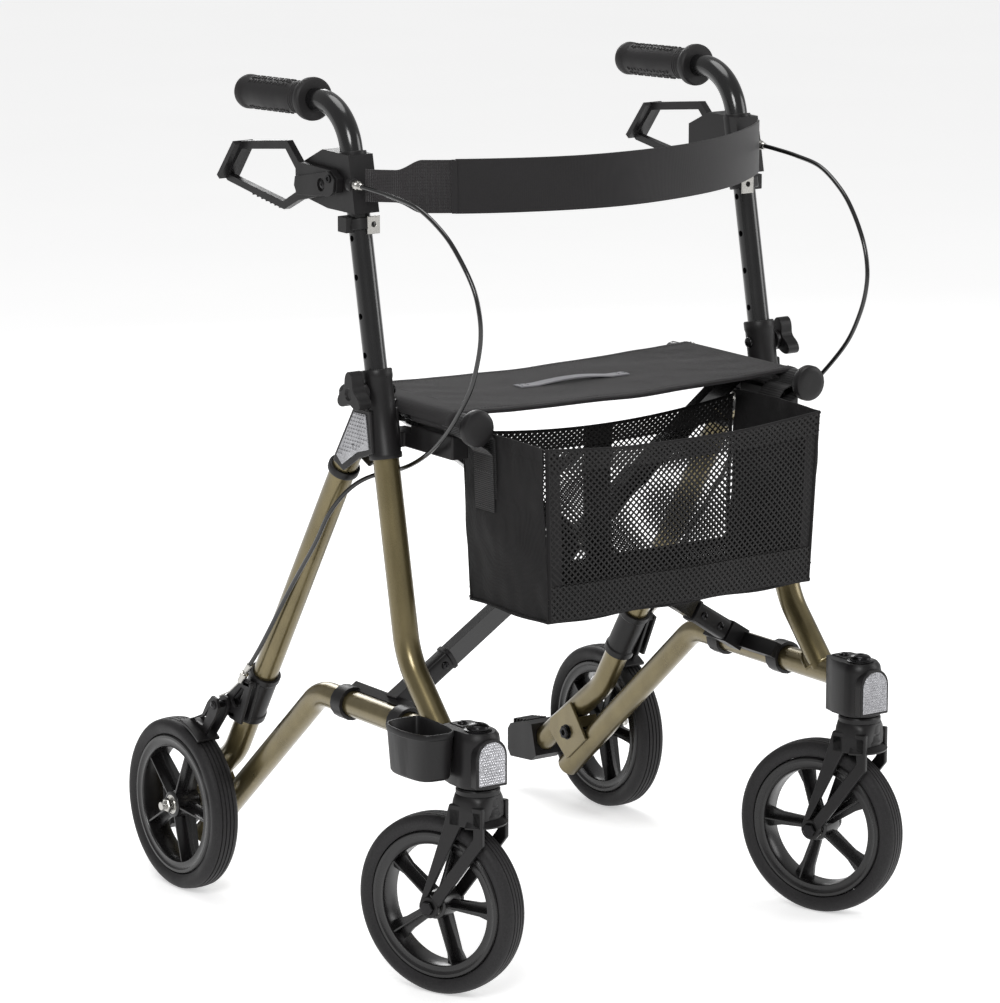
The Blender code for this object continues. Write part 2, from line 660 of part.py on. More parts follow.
def seat_bar(sign):
    """Tube that the seat hangs on, with a disc knob on its front end."""
    profile = [(0.0185, -0.2570), (0.0200, -0.2545), (0.0200, -0.2455), (SEAT_BAR_R, -0.2430),
               (SEAT_BAR_R, 0.0020)]
    return on_side(turned(profile, (SEAT_BAR_X, 0.0, SEAT_BAR_Z), (0.0, 1.0, 0.0)), sign)


def seat_cradle(sign):
    """Bracket on the socket that the seat bar rests on when the walker stands open."""
    rest = box((0.2135, -0.2200, 0.5720), (0.2355, -0.1400, 0.5985))
    link = box((0.2135, -0.1450, 0.5720), (0.2355, -0.0980, 0.5890))
    cheek_face = SIDE_X - FRAME_TUBE_R - CHEEK - 2 * GAP
    foot = box((0.2250, -0.1300, 0.5720), (cheek_face, -0.1040, 0.5890))
    return on_side(union(rest, link, foot), sign)


def seat_sling():
    """Fabric seat: sags a little between the bars and is flat across its middle."""
    half = [(0.0600, 0.6190), (0.1600, 0.6225), (0.2050, 0.6262), (0.2360, 0.6262)]
    top = [(-x, z) for x, z in reversed(half)] + half
    under = [(x, z - 0.0045) for x, z in reversed(top)]
    rings = [[Vector((x, y, z)) for x, z in top + under] for y in (-0.2200, -0.0220)]
    return loft(rings)


def basket():
    """Open-topped basket, hung by loops over the two disc knobs."""
    wall = 0.003

    def ring(z, half_width, front, back, inset):
        half = half_width - inset
        return [Vector((-half, front + inset, z)), Vector((half, front + inset, z)),
                Vector((half, back - inset, z)), Vector((-half, back - inset, z))]

    return loft([ring(0.4040, 0.1790, -0.3150, -0.1700, 0.0), ring(0.5970, 0.1870, -0.3200, -0.1650, 0.0),
                 ring(0.5970, 0.1870, -0.3200, -0.1650, wall), ring(0.4070, 0.1790, -0.3150, -0.1700, wall)])


def backrest_strap():
    """Wide band that bows forward between the handle tubes."""
    steps = 16
    half_span = 0.2655
    ends_y = -0.1015
    bow = 0.1190
    half_thick = 0.0015
    rings = []
    for i in range(steps + 1):
        u = 2 * i / steps - 1
        centre = Vector((half_span * u, ends_y - bow * (1 - u * u) ** 0.9, 0.0))
        slope = 0.0 if abs(u) > 0.99 else 0.9 * bow * 2 * u * (1 - u * u) ** -0.1 / half_span
        slope = slope if abs(u) < 0.99 else math.copysign(1.25, u)
        normal = Vector((-slope, 1.0, 0.0)).normalized() * half_thick
        half_height = 0.0180 + 0.0110 * min(1.0, max(0.0, (u + 0.92) / 0.10))
        low = Vector((0.0, 0.0, 0.8570 - half_height))
        high = Vector((0.0, 0.0, 0.8570 + half_height))
        rings.append([centre + normal + low, centre + normal + high, centre - normal + high,
                      centre - normal + low])
    return loft(rings)


# ---- assembly --------------------------------------------------------------
def build_side(side, sign):
    steering = side_point(CASTER_PIVOT, sign)
    front_hub = front_matrix(sign).translation
    rear_hub = side_point(REAR_WHEEL, sign)
    add_node("front_leg_" + side, front_leg(sign), GOLD)
    add_node("lower_tube_" + side, lower_tube(sign), GOLD)
    add_node("rear_leg_" + side, rear_leg(sign), GOLD)
    add_node("socket_" + side, socket(sign), BLACK)
    add_node("axle_bracket_" + side, axle_bracket(sign), GOLD)
    add_node("kerb_pedal_" + side, kerb_pedal(sign), BLACK)
    add_node("caster_head_" + side, caster_head(sign), BLACK)
    add_node("caster_bolt_" + side, caster_bolt(sign), BLACK_TUBE, steering)
    add_node("caster_fork_" + side, moved(caster_fork(), caster_matrix(sign)), BLACK, steering)
    add_node("front_tyre_" + side, moved(tyre(), front_matrix(sign)), RUBBER, front_hub)
    add_node("front_rim_" + side, moved(rim(FRONT_SPOKE_TURN * sign), front_matrix(sign)), BLACK, front_hub)
    add_node("front_axle_" + side, moved(front_axle(), front_matrix(sign)), STEEL, front_hub)
    add_node("rear_tyre_" + side, moved(tyre(), rear_matrix(sign)), RUBBER, rear_hub)
    add_node("rear_rim_" + side, moved(rim(REAR_SPOKE_TURN), rear_matrix(sign)), BLACK, rear_hub)
    rear_bolt = moved(rear_axle(), Matrix.Translation(REAR_WHEEL))
    add_node("rear_axle_" + side, on_side(rear_bolt, sign), STEEL, rear_hub)
    add_node("handle_tube_" + side, handle_tube(sign), BLACK_TUBE, side_point(handle_line(0.0), sign))
    add_node("grip_" + side, grip(sign), BLACK, side_point(handle_line(0.0), sign))
    add_node("lever_housing_" + side, lever_housing(sign), BLACK, side_point(handle_line(0.0), sign))
    lever_pivot = Vector((LEVER_X[0], LEVER_PIVOT.y, LEVER_PIVOT.z))
    add_node("brake_lever_" + side, brake_lever(sign), BLACK, side_point(lever_pivot, sign))
    add_node("brake_body_" + side, brake_body(sign), BLACK)
    add_node("brake_arm_" + side, brake_arm(sign), BLACK, side_point(BRAKE_PIVOT, sign))
    add_cable("brake_cable_" + side, sign)
    add_node("wing_knob_" + side, wing_knob(sign), BLACK, side_point(wing_knob_pivot(), sign))
    add_node("strut_sleeve_" + side, strut_sleeve(sign), BLACK, side_point(STRUT_PIVOT, sign))
    add_node("seat_bar_" + side, seat_bar(sign), BLACK_TUBE, (sign * SEAT_BAR_X, 0.0, SEAT_BAR_Z))
    add_node("seat_cradle_" + side, seat_cradle(sign), BLACK)


def build_middle():
    cross = (0.0, 0.0, CROSS_Z)
    add_node("strut_a", strut(-1.0, STRUT_A_Y), BLACK_TUBE, side_point(STRUT_PIVOT, -1.0))
    add_node("strut_b", strut(1.0, STRUT_B_Y), BLACK_TUBE, cross)
    add_node("cross_pivot", cross_pivot(), STEEL, cross)
    add_node("seat_sling", seat_sling(), FABRIC)
    add_node("basket", basket(), FABRIC, (SEAT_BAR_X, 0.0, SEAT_BAR_Z))
    add_node("backrest_strap", backrest_strap(), FABRIC)
    add_node("stick_holder", stick_holder(), BLACK)


def main():
    for obj in list(bpy.data.objects):
        bpy.data.objects.remove(obj)
    for side, sign in (("left", -1.0), ("right", 1.0)):
        build_side(side, sign)
    build_middle()


main()
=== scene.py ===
"""Looks of the folding four-wheeled walker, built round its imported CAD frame."""
import math

import bmesh
import bpy
from mathutils import Matrix, Vector, noise


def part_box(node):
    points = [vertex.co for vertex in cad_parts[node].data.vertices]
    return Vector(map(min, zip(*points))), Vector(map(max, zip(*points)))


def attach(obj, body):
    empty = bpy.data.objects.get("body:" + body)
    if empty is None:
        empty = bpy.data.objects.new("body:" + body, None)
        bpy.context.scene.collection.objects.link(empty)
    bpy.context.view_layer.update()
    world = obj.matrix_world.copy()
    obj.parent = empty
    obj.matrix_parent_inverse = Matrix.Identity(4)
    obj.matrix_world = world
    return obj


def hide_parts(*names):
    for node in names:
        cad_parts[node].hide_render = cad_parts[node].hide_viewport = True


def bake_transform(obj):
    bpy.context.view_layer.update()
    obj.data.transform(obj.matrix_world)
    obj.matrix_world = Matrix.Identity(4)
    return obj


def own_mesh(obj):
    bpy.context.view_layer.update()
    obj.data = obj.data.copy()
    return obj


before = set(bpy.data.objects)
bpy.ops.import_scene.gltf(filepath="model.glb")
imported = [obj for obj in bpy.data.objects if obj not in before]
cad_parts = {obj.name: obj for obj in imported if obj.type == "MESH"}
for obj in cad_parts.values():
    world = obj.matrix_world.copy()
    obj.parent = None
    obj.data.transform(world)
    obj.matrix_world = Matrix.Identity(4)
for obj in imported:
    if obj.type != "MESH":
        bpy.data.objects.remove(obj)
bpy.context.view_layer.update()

# ---- the frame's driving dimensions, in metres --------------------------------
SIDE_X = 0.2611
FRAME_TUBE_R = 0.0143
HANDLE_TUBE_R = 0.0125
WHEEL_R = 0.1
REAR_WHEEL = Vector((0.3027, 0.2337, WHEEL_R))
CASTER = Vector((SIDE_X, -0.305, 0.0))
CASTER_TRAIL = 0.047
CASTER_TURN = math.radians(21.5)
HEAD_TOP = 0.298
HEAD_REAR = -0.262
FORK_INNER = 0.02
FORK_OUTER = 0.0262
HANDLE_LOW = Vector((SIDE_X, -0.1318, 0.56))
HANDLE_AXIS = Vector((0.0, 0.1916, 0.9815)).normalized()
HANDLE_CORNER = Vector((SIDE_X, -0.0576, 0.9404))
GRIP_AXIS = Vector((0.0, 0.9991, -0.0413)).normalized()
GRIP_START_Y = 0.004
SEAT_BAR_X = 0.2245
SEAT_BAR_Z = 0.611
SEAT_BAR_R = 0.01
CROSS_Z = 0.443
LOWER_TUBE_Z = 0.275
STRUT_A_Y = -0.126
STRUT_B_Y = -0.104
SHARP = math.radians(32)
SIDES = (("left", -1.0), ("right", 1.0))


# ---- materials -----------------------------------------------------------------
def new_material(name):
    material = bpy.data.materials.new(name)
    material.use_nodes = True
    tree = material.node_tree
    return material, tree, tree.nodes["Principled BSDF"]


def add(tree, kind, **values):
    node = tree.nodes.new(kind)
    for key, value in values.items():
        if key in node.inputs:
            node.inputs[key].default_value = value
        else:
            setattr(node, key, value)
    return node


def mapped(tree, scale=(1.0, 1.0, 1.0), turn=(0.0, 0.0, 0.0)):
    """Object coordinates, scaled and turned."""
    coordinates = add(tree, "ShaderNodeTexCoord")
    mapping = add(tree, "ShaderNodeMapping", Scale=scale, Rotation=turn)
    tree.links.new(coordinates.outputs["Object"], mapping.inputs["Vector"])
    return mapping.outputs["Vector"]


def noise_value(tree, vector, scale, detail=3.0):
    node = add(tree, "ShaderNodeTexNoise", Scale=scale, Detail=detail)
    tree.links.new(vector, node.inputs["Vector"])
    return node.outputs["Fac"]


def ranged(tree, value, low, high, from_low=0.3, from_high=0.7):
    node = add(tree, "ShaderNodeMapRange")
    for index, number in ((1, from_low), (2, from_high), (3, low), (4, high)):
        node.inputs[index].default_value = number
    tree.links.new(value, node.inputs[0])
    return node.outputs[0]


def varied_colour(tree, shader, value, dark, light):
    mix = add(tree, "ShaderNodeMix", data_type="RGBA")
    tree.links.new(value, mix.inputs[0])
    mix.inputs[6].default_value = (*dark, 1.0)
    mix.inputs[7].default_value = (*light, 1.0)
    tree.links.new(mix.outputs[2], shader.inputs["Base Color"])


def bumped(tree, shader, height, strength, distance):
    bump = add(tree, "ShaderNodeBump", Strength=strength, Distance=distance)
    tree.links.new(height, bump.inputs["Height"])
    tree.links.new(bump.outputs["Normal"], shader.inputs["Normal"])


def hard_surface(name, dark, light, rough, metallic=0.0, coat=0.0, grain=900.0, depth=0.00006, strength=0.3,
                 specular=0.5):
    """Lacquer, anodising or moulded plastic: fine grain, uneven gloss and faint scuffs."""
    material, tree, shader = new_material(name)
    shader.inputs["Metallic"].default_value = metallic
    shader.inputs["Coat Weight"].default_value = coat
    shader.inputs["Coat Roughness"].default_value = 0.12
    shader.inputs["Specular IOR Level"].default_value = specular
    vector = mapped(tree)
    scuffs = noise_value(tree, mapped(tree, (38.0, 38.0, 9.0)), 1.0, 6.0)
    fine = noise_value(tree, vector, grain, 2.0)
    both = add(tree, "ShaderNodeMath", operation="MULTIPLY_ADD")
    tree.links.new(scuffs, both.inputs[0])
    both.inputs[1].default_value = 0.6
    scaled = ranged(tree, fine, 0.0, 0.4)
    tree.links.new(scaled, both.inputs[2])
    varied_colour(tree, shader, ranged(tree, both.outputs[0], 0.0, 1.0, 0.25, 0.75), dark, light)
    tree.links.new(ranged(tree, scuffs, rough[0], rough[1]), shader.inputs["Roughness"])
    bumped(tree, shader, fine, strength, depth)
    return material


def woven(name, dark, light, pitch, depth, rough=0.85, sheen=0.25, strength=0.7, axes="XYZ"):
    """Plain weave: crossed rows of threads along the object's axes, with slow shade changes."""
    material, tree, shader = new_material(name)
    shader.inputs["Roughness"].default_value = rough
    shader.inputs["Sheen Weight"].default_value = sheen
    shader.inputs["Sheen Roughness"].default_value = 0.45
    shader.inputs["Specular IOR Level"].default_value = 0.25
    total = None
    for axis in axes:
        wave = add(tree, "ShaderNodeTexWave", wave_type="BANDS", bands_direction=axis, wave_profile="SIN",
                   Scale=math.pi / (10.0 * pitch), Distortion=0.6, Detail=1.0)
        wave.inputs["Detail Scale"].default_value = 1.5
        tree.links.new(mapped(tree), wave.inputs["Vector"])
        if total is None:
            total = wave.outputs["Fac"]
        else:
            join = add(tree, "ShaderNodeMath", operation="ADD")
            tree.links.new(total, join.inputs[0])
            tree.links.new(wave.outputs["Fac"], join.inputs[1])
            total = join.outputs[0]
    slow = noise_value(tree, mapped(tree), 14.0, 5.0)
    shade = add(tree, "ShaderNodeMath", operation="MULTIPLY")
    tree.links.new(ranged(tree, total, 0.55, 1.0, 0.4, len(axes) * 0.75), shade.inputs[0])
    tree.links.new(ranged(tree, slow, 0.5, 1.0), shade.inputs[1])
    varied_colour(tree, shader, shade.outputs[0], dark, light)
    bumped(tree, shader, total, strength, depth)
    return material


GOLD = hard_surface("gold_lacquer", (0.105, 0.083, 0.036), (0.215, 0.175, 0.085), (0.26, 0.36),
                    metallic=0.8, coat=0.5, grain=2600.0, depth=0.00002, strength=0.3)
BLACK_TUBE = hard_surface("black_anodised", (0.0025, 0.0025, 0.0028), (0.007, 0.0068, 0.0072), (0.14, 0.24),
                          metallic=0.0, coat=0.25, grain=1800.0, depth=0.00001, strength=0.15)
PLASTIC = hard_surface("black_plastic", (0.005, 0.0046, 0.0048), (0.012, 0.0112, 0.0118), (0.34, 0.48),
                       grain=1500.0, depth=0.00005, strength=0.35, specular=0.3)
WHEEL_PLASTIC = hard_surface("wheel_plastic", (0.0035, 0.0032, 0.0034), (0.009, 0.0084, 0.0088),
                             (0.2, 0.34), grain=1100.0, depth=0.00002, strength=0.2)
GRIP_RUBBER = hard_surface("grip_rubber", (0.009, 0.0084, 0.0088), (0.02, 0.0188, 0.0195), (0.52, 0.7),
                           grain=1300.0, depth=0.00009, strength=0.5, specular=0.32)
TYRE = hard_surface("tyre_rubber", (0.01, 0.0094, 0.01), (0.02, 0.019, 0.02), (0.48, 0.66), grain=520.0,
                    depth=0.00008, strength=0.3, specular=0.28)
STEEL = hard_surface("bright_zinc", (0.36, 0.35, 0.33), (0.58, 0.57, 0.54), (0.18, 0.34), metallic=1.0,
                     grain=1400.0, depth=0.00002, strength=0.2)
DARK_STEEL = hard_surface("dark_bolt", (0.012, 0.012, 0.013), (0.035, 0.034, 0.035), (0.16, 0.28),
                          metallic=0.9, grain=1400.0, depth=0.00002, strength=0.2)
REFLECTOR = hard_surface("reflector", (0.16, 0.16, 0.17), (0.46, 0.46, 0.48), (0.14, 0.26), metallic=0.6,
                         coat=0.6, grain=700.0, depth=0.00006, strength=0.4)
SHEATH = hard_surface("cable_sheath", (0.0025, 0.0025, 0.0028), (0.0065, 0.0064, 0.0066), (0.14, 0.24),
                      coat=0.3, grain=900.0, depth=0.00001, strength=0.1)
SEAT_CLOTH = woven("seat_cloth", (0.0055, 0.005, 0.0055), (0.017, 0.015, 0.016), 0.0011, 0.00022, sheen=0.1)
SIDE_CLOTH = woven("basket_cloth", (0.004, 0.0038, 0.004), (0.011, 0.01, 0.0106), 0.0009, 0.00016,
                   sheen=0.06)
NET = woven("basket_net", (0.004, 0.0038, 0.0038), (0.014, 0.013, 0.013), 0.0012, 0.0003, rough=0.6,
            sheen=0.05)
WEBBING = woven("ribbed_webbing", (0.0035, 0.0034, 0.0036), (0.015, 0.014, 0.0145), 0.0022, 0.0005,
                axes="Z")
STRAP_CLOTH = woven("strap_cloth", (0.005, 0.0044, 0.005), (0.012, 0.0108, 0.0116), 0.0008, 0.00008,
                    rough=0.5, sheen=0.1, strength=0.35)
HOOK_CLOTH = woven("hook_tape", (0.006, 0.0054, 0.0058), (0.034, 0.031, 0.0325), 0.0016, 0.0006,
                   strength=1.0)
GREY_TAPE = woven("grey_tape", (0.05, 0.05, 0.055), (0.3, 0.3, 0.32), 0.002, 0.0004, axes="XY")
THREAD = woven("thread", (0.015, 0.015, 0.015), (0.05, 0.048, 0.05), 0.0008, 0.0001)

# the frame's material slot that each material belongs to
SLOTS = {}
for slot_name, members in (("frame_gold", [GOLD]), ("black_metal", [BLACK_TUBE]),
                           ("black_plastic", [PLASTIC, WHEEL_PLASTIC]), ("grip_rubber", [GRIP_RUBBER]),
                           ("tyre_rubber", [TYRE]), ("zinc_steel", [STEEL, DARK_STEEL]),
                           ("cable_sheath", [SHEATH]), ("seat_fabric", [SEAT_CLOTH, GREY_TAPE, THREAD]),
                           ("basket_fabric", [SIDE_CLOTH, NET, WEBBING]),
                           ("strap_webbing", [STRAP_CLOTH, HOOK_CLOTH])):
    for member in members:
        SLOTS[member.name] = slot_name


# ---- mesh helpers ---------------------------------------------------------------
def loft(rings, closed=False, caps=True, bm=None):
    bm = bm or bmesh.new()
    loops = [[bm.verts.new(point) for point in ring] for ring in rings]
    count = len(loops[0])
    pairs = list(zip(loops, loops[1:]))
    if closed:
        pairs.append((loops[-1], loops[0]))
    for near, far in pairs:
        for i in range(count):
            j = (i + 1) % count
            bm.faces.new((near[i], near[j], far[j], far[i]))
    if caps and not closed:
        bm.faces.new(loops[0])
        bm.faces.new(list(reversed(loops[-1])))
    return bm


def sheet_mesh(grid, thickness):
    """A grid of points as cloth with thickness, closed round its edges."""
    bm = bmesh.new()
    rows = [[bm.verts.new(point) for point in row] for row in grid]
    for low, high in zip(rows, rows[1:]):
        for i in range(len(low) - 1):
            bm.faces.new((low[i], low[i + 1], high[i + 1], high[i]))
    bm.normal_update()
    bmesh.ops.solidify(bm, geom=list(bm.faces), thickness=thickness)
    return bm


def arc_corner(before, corner, after, radius, steps):
    inward = (before - corner).normalized()
    outward = (after - corner).normalized()
    half = inward.angle(outward) / 2
    reach = radius / math.tan(half)
    centre = corner + (inward + outward).normalized() * (radius / math.sin(half))
    start = corner + inward * reach - centre
    axis = start.cross(corner + outward * reach - centre).normalized()
    sweep = math.pi - 2 * half
    return [centre + Matrix.Rotation(sweep * i / steps, 3, axis) @ start for i in range(steps + 1)]


def rounded_path(corners, radii, steps=14):
    points = [corners[0]]
    for i, radius in enumerate(radii, start=1):
        points += arc_corner(corners[i - 1], corners[i], corners[i + 1], radius, steps)
    points.append(corners[-1])
    return points


def sweep(points, radius, sides=40, across=Vector((1.0, 0.0, 0.0)), caps=True):
    """A round bar along a path, with its rings kept square to the path."""
    rings = []
    for i, point in enumerate(points):
        tangent = (points[min(i + 1, len(points) - 1)] - points[max(i - 1, 0)]).normalized()
        side = (across - tangent * across.dot(tangent)).normalized()
        normal = side.cross(tangent)
        size = radius(i) if callable(radius) else radius
        turns = [2 * math.pi * k / sides for k in range(sides)]
        rings.append([point + (side * math.cos(turn) + normal * math.sin(turn)) * size for turn in turns])
        across = side
    return loft(rings, caps=caps)


def turned(profile, start=(0.0, 0.0, 0.0), axis=(0.0, 0.0, 1.0), sides=48, ring=False, bm=None, phase=0.0):
    axis = Vector(axis).normalized()
    across = Vector((1.0, 0.0, 0.0)) if abs(axis.x) < 0.9 else Vector((0.0, 1.0, 0.0))
    across = (across - axis * across.dot(axis)).normalized()
    normal = axis.cross(across)
    rings = []
    for radius, distance in profile:
        centre = Vector(start) + axis * distance
        angles = [2 * math.pi * k / sides + phase for k in range(sides)]
        rings.append([centre + (across * math.cos(a) + normal * math.sin(a)) * radius for a in angles])
    return loft(rings, closed=ring, bm=bm)


def slab(outline, low_x, high_x, bm=None):
    """A (y, z) outline with thickness along x."""
    return loft([[Vector((x, y, z)) for y, z in outline] for x in (low_x, high_x)], bm=bm)


def block(low, high, bm=None):
    low, high = Vector(low), Vector(high)
    return loft([[Vector((low.x, low.y, z)), Vector((high.x, low.y, z)), Vector((high.x, high.y, z)),
                  Vector((low.x, high.y, z))] for z in (low.z, high.z)], bm=bm)


def join(*shapes):
    result = shapes[0]
    for shape in shapes[1:]:
        mesh = bpy.data.meshes.new("part")
        shape.to_mesh(mesh)
        shape.free()
        result.from_mesh(mesh)
        bpy.data.meshes.remove(mesh)
    return result


def moved(bm, matrix):
    bmesh.ops.transform(bm, matrix=matrix, verts=bm.verts)
    return bm


def combine(bm, tool, operation="DIFFERENCE"):
    """Boolean of two closed shapes; both are used up."""
    objects = []
    for shape in (bm, tool):
        bmesh.ops.recalc_face_normals(shape, faces=shape.faces)
        mesh = bpy.data.meshes.new("temporary")
        shape.to_mesh(mesh)
        shape.free()
        obj = bpy.data.objects.new("temporary", mesh)
        bpy.context.scene.collection.objects.link(obj)
        objects.append(obj)
    modifier = objects[0].modifiers.new("combine", "BOOLEAN")
    modifier.operation = operation
    modifier.object = objects[1]
    result = bmesh.new()
    result.from_mesh(objects[0].evaluated_get(bpy.context.evaluated_depsgraph_get()).to_mesh())
    for obj in objects:
        bpy.data.objects.remove(obj)
    return result


def cad_copy(node):
    """A copy of a CAD node's solid with its flat faces whole again."""
    bm = bmesh.new()
    bm.from_mesh(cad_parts[node].data)
    bmesh.ops.remove_doubles(bm, verts=bm.verts, dist=0.00002)
    bmesh.ops.dissolve_limit(bm, angle_limit=math.radians(1.0), verts=bm.verts, edges=bm.edges)
    return bm


def piece(name, bm, material, body, bevel=0.0, sign=1.0, segments=3, nodes=(), slot=None):
    """Make a shape into an object that rides on a CAD body. Shapes are drawn for the +X side."""
    slot = slot or SLOTS.get(material.name)
    if sign < 0:
        moved(bm, Matrix.Scale(-1.0, 4, Vector((1.0, 0.0, 0.0))))
    bmesh.ops.recalc_face_normals(bm, faces=bm.faces)
    mesh = bpy.data.meshes.new(name)
    bm.to_mesh(mesh)
    bm.free()
    mesh.shade_smooth()
    mesh.set_sharp_from_angle(angle=SHARP)
    mesh.materials.append(material)
    obj = bpy.data.objects.new(name, mesh)
    bpy.context.scene.collection.objects.link(obj)
    if bevel:
        modifier = obj.modifiers.new("edge", "BEVEL")
        modifier.width = bevel
        modifier.segments = segments
        modifier.limit_method = "ANGLE"
        modifier.angle_limit = SHARP
        modifier.harden_normals = True
    if body:
        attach(obj, body)
    if nodes:
        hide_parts(*nodes)
    return obj


def stand_in(name, bm, material, body, bevel=0.0, sign=1.0, segments=3, slot=None):
    """A piece that takes the place of the CAD node of its own name."""
    return piece(name, bm, material, body, bevel, sign, segments, [name], slot)


def hexagon_bolt(centre, axis, radius, height, socket=True):
    """Hexagonal bolt head with a domed face and a socket."""
    head = turned([(radius, 0.0), (radius, height * 0.75), (radius * 0.86, height)], centre, axis, sides=6)
    if socket:
        key = turned([(radius * 0.45, height * 0.45), (radius * 0.45, height * 1.5)], centre, axis, sides=6)
        head = combine(head, key)
    return head


def dome_bolt(centre, axis, radius, height):
    """Button-head bolt with a hexagonal socket."""
    steps = 6
    profile = [(radius, 0.0)]
    for i in range(steps + 1):
        angle = math.pi / 2 * i / steps
        profile.append((max(radius * math.cos(angle), radius * 0.12),
                        height * (0.25 + 0.75 * math.sin(angle))))
    head = turned(profile, centre, axis, sides=36)
    return combine(head,
                   turned([(radius * 0.3, height * 0.55), (radius * 0.3, height * 1.5)], centre, axis,
                          sides=6))


def frame_point(y, z):
    return Vector((SIDE_X, y, z))


def handle_at_height(z):
    return HANDLE_LOW + HANDLE_AXIS * ((z - HANDLE_LOW.z) / HANDLE_AXIS.z)


# ---- side frames ----------------------------------------------------------------
REAR_LEG = [frame_point(-0.072, 0.577), frame_point(0.183, 0.168), frame_point(0.314, 0.066)]
LOWER_TUBE = [frame_point(HEAD_REAR + 0.0003, LOWER_TUBE_Z), frame_point(0.001, LOWER_TUBE_Z),
              frame_point(0.254, 0.051)]


def build_frame_tubes(side, sign):
    body = side + "_frame"
    leg_path = rounded_path([handle_at_height(0.652), handle_at_height(0.35), frame_point(-0.24, 0.276)],
                            [0.09])
    leg = sweep(leg_path, FRAME_TUBE_R)
    leg = combine(leg, sweep([handle_at_height(0.42), handle_at_height(0.7)], HANDLE_TUBE_R + 0.0004))
    stand_in("front_leg_" + side, leg, GOLD, body, sign=sign)
    lower = sweep(rounded_path(LOWER_TUBE, [0.055]), FRAME_TUBE_R)
    stand_in("lower_tube_" + side, lower, GOLD, body, 0.0008, sign)
    rear = sweep(rounded_path(REAR_LEG, [0.08]), FRAME_TUBE_R)
    stand_in("rear_leg_" + side, rear, GOLD, body, 0.0008, sign)
    weld = []
    steps = 40
    for i in range(steps + 1):
        angle = 2 * math.pi * i / steps
        x = SIDE_X + FRAME_TUBE_R * math.sin(angle)
        y = -0.2265 + 0.0205 * math.cos(angle)
        z = LOWER_TUBE_Z + math.sqrt(max(FRAME_TUBE_R ** 2 - (x - SIDE_X) ** 2, 0.0)) + 0.0004
        weld.append(Vector((x, y, z)))
    bead = sweep(weld[:-1] + [weld[0]], lambda i: 0.0016 + 0.0003 * math.sin(i * 1.9), 10,
                 Vector((0, 0, 1)))
    piece("weld_bead_" + side, bead, GOLD, body, sign=sign)


def build_axle_bracket(side, sign):
    body = side + "_frame"
    stand_in("axle_bracket_" + side, cad_copy("axle_bracket_" + side), GOLD, body, 0.0012)
    inner = SIDE_X - 0.0182 - 0.0003 - REAR_WHEEL.x
    inner_face = REAR_WHEEL + Vector((inner, 0, 0))
    bolt = hexagon_bolt(inner_face, (-1, 0, 0), 0.0085, 0.005)
    washer = turned([(0.0095, -0.0012), (0.0095, 0.0)], inner_face, (-1, 0, 0), 32)
    outer_face = REAR_WHEEL + Vector((SIDE_X + 0.015 - REAR_WHEEL.x, 0, 0))
    spacer = turned([(0.009, 0.0003), (0.0078, 0.003), (0.0078, 0.0065), (0.009, 0.0092)], outer_face,
                    (1, 0, 0), 32)
    nut = hexagon_bolt(REAR_WHEEL + Vector((0.018, 0, 0)), (1, 0, 0), 0.0084, 0.0062, socket=False)
    thread = turned([(0.005 - 0.0004 * (i % 2), 0.0235 + 0.0006 * i) for i in range(12)], REAR_WHEEL,
                    (1, 0, 0), 28)
    shaft = turned([(0.005, -0.046), (0.005, 0.0235)], REAR_WHEEL, (1, 0, 0), 28)
    piece("bracket_bolt_" + side, join(bolt, washer), DARK_STEEL, body, 0.0004, sign, 2)
    shape = join(spacer, nut, thread, shaft)
    stand_in("rear_axle_" + side, shape, STEEL, body, 0.0004, sign, 2)


def build_kerb_pedal(side, sign):
    body = side + "_frame"
    pedal = cad_copy("kerb_pedal_" + side)
    stand_in("kerb_pedal_" + side, pedal, PLASTIC, body, 0.004, segments=4)
    ribs = bmesh.new()
    low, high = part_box("kerb_pedal_right")
    for i in range(5):
        y = low.y + 0.026 + 0.0065 * i
        slope = high.z - 0.0005 - 0.16 * (y - low.y - 0.02)
        block((SIDE_X - 0.015, y, slope - 0.005), (SIDE_X + 0.015, y + 0.0028, slope + 0.0012), ribs)
    piece("pedal_ribs_" + side, ribs, PLASTIC, body, 0.0008, sign)


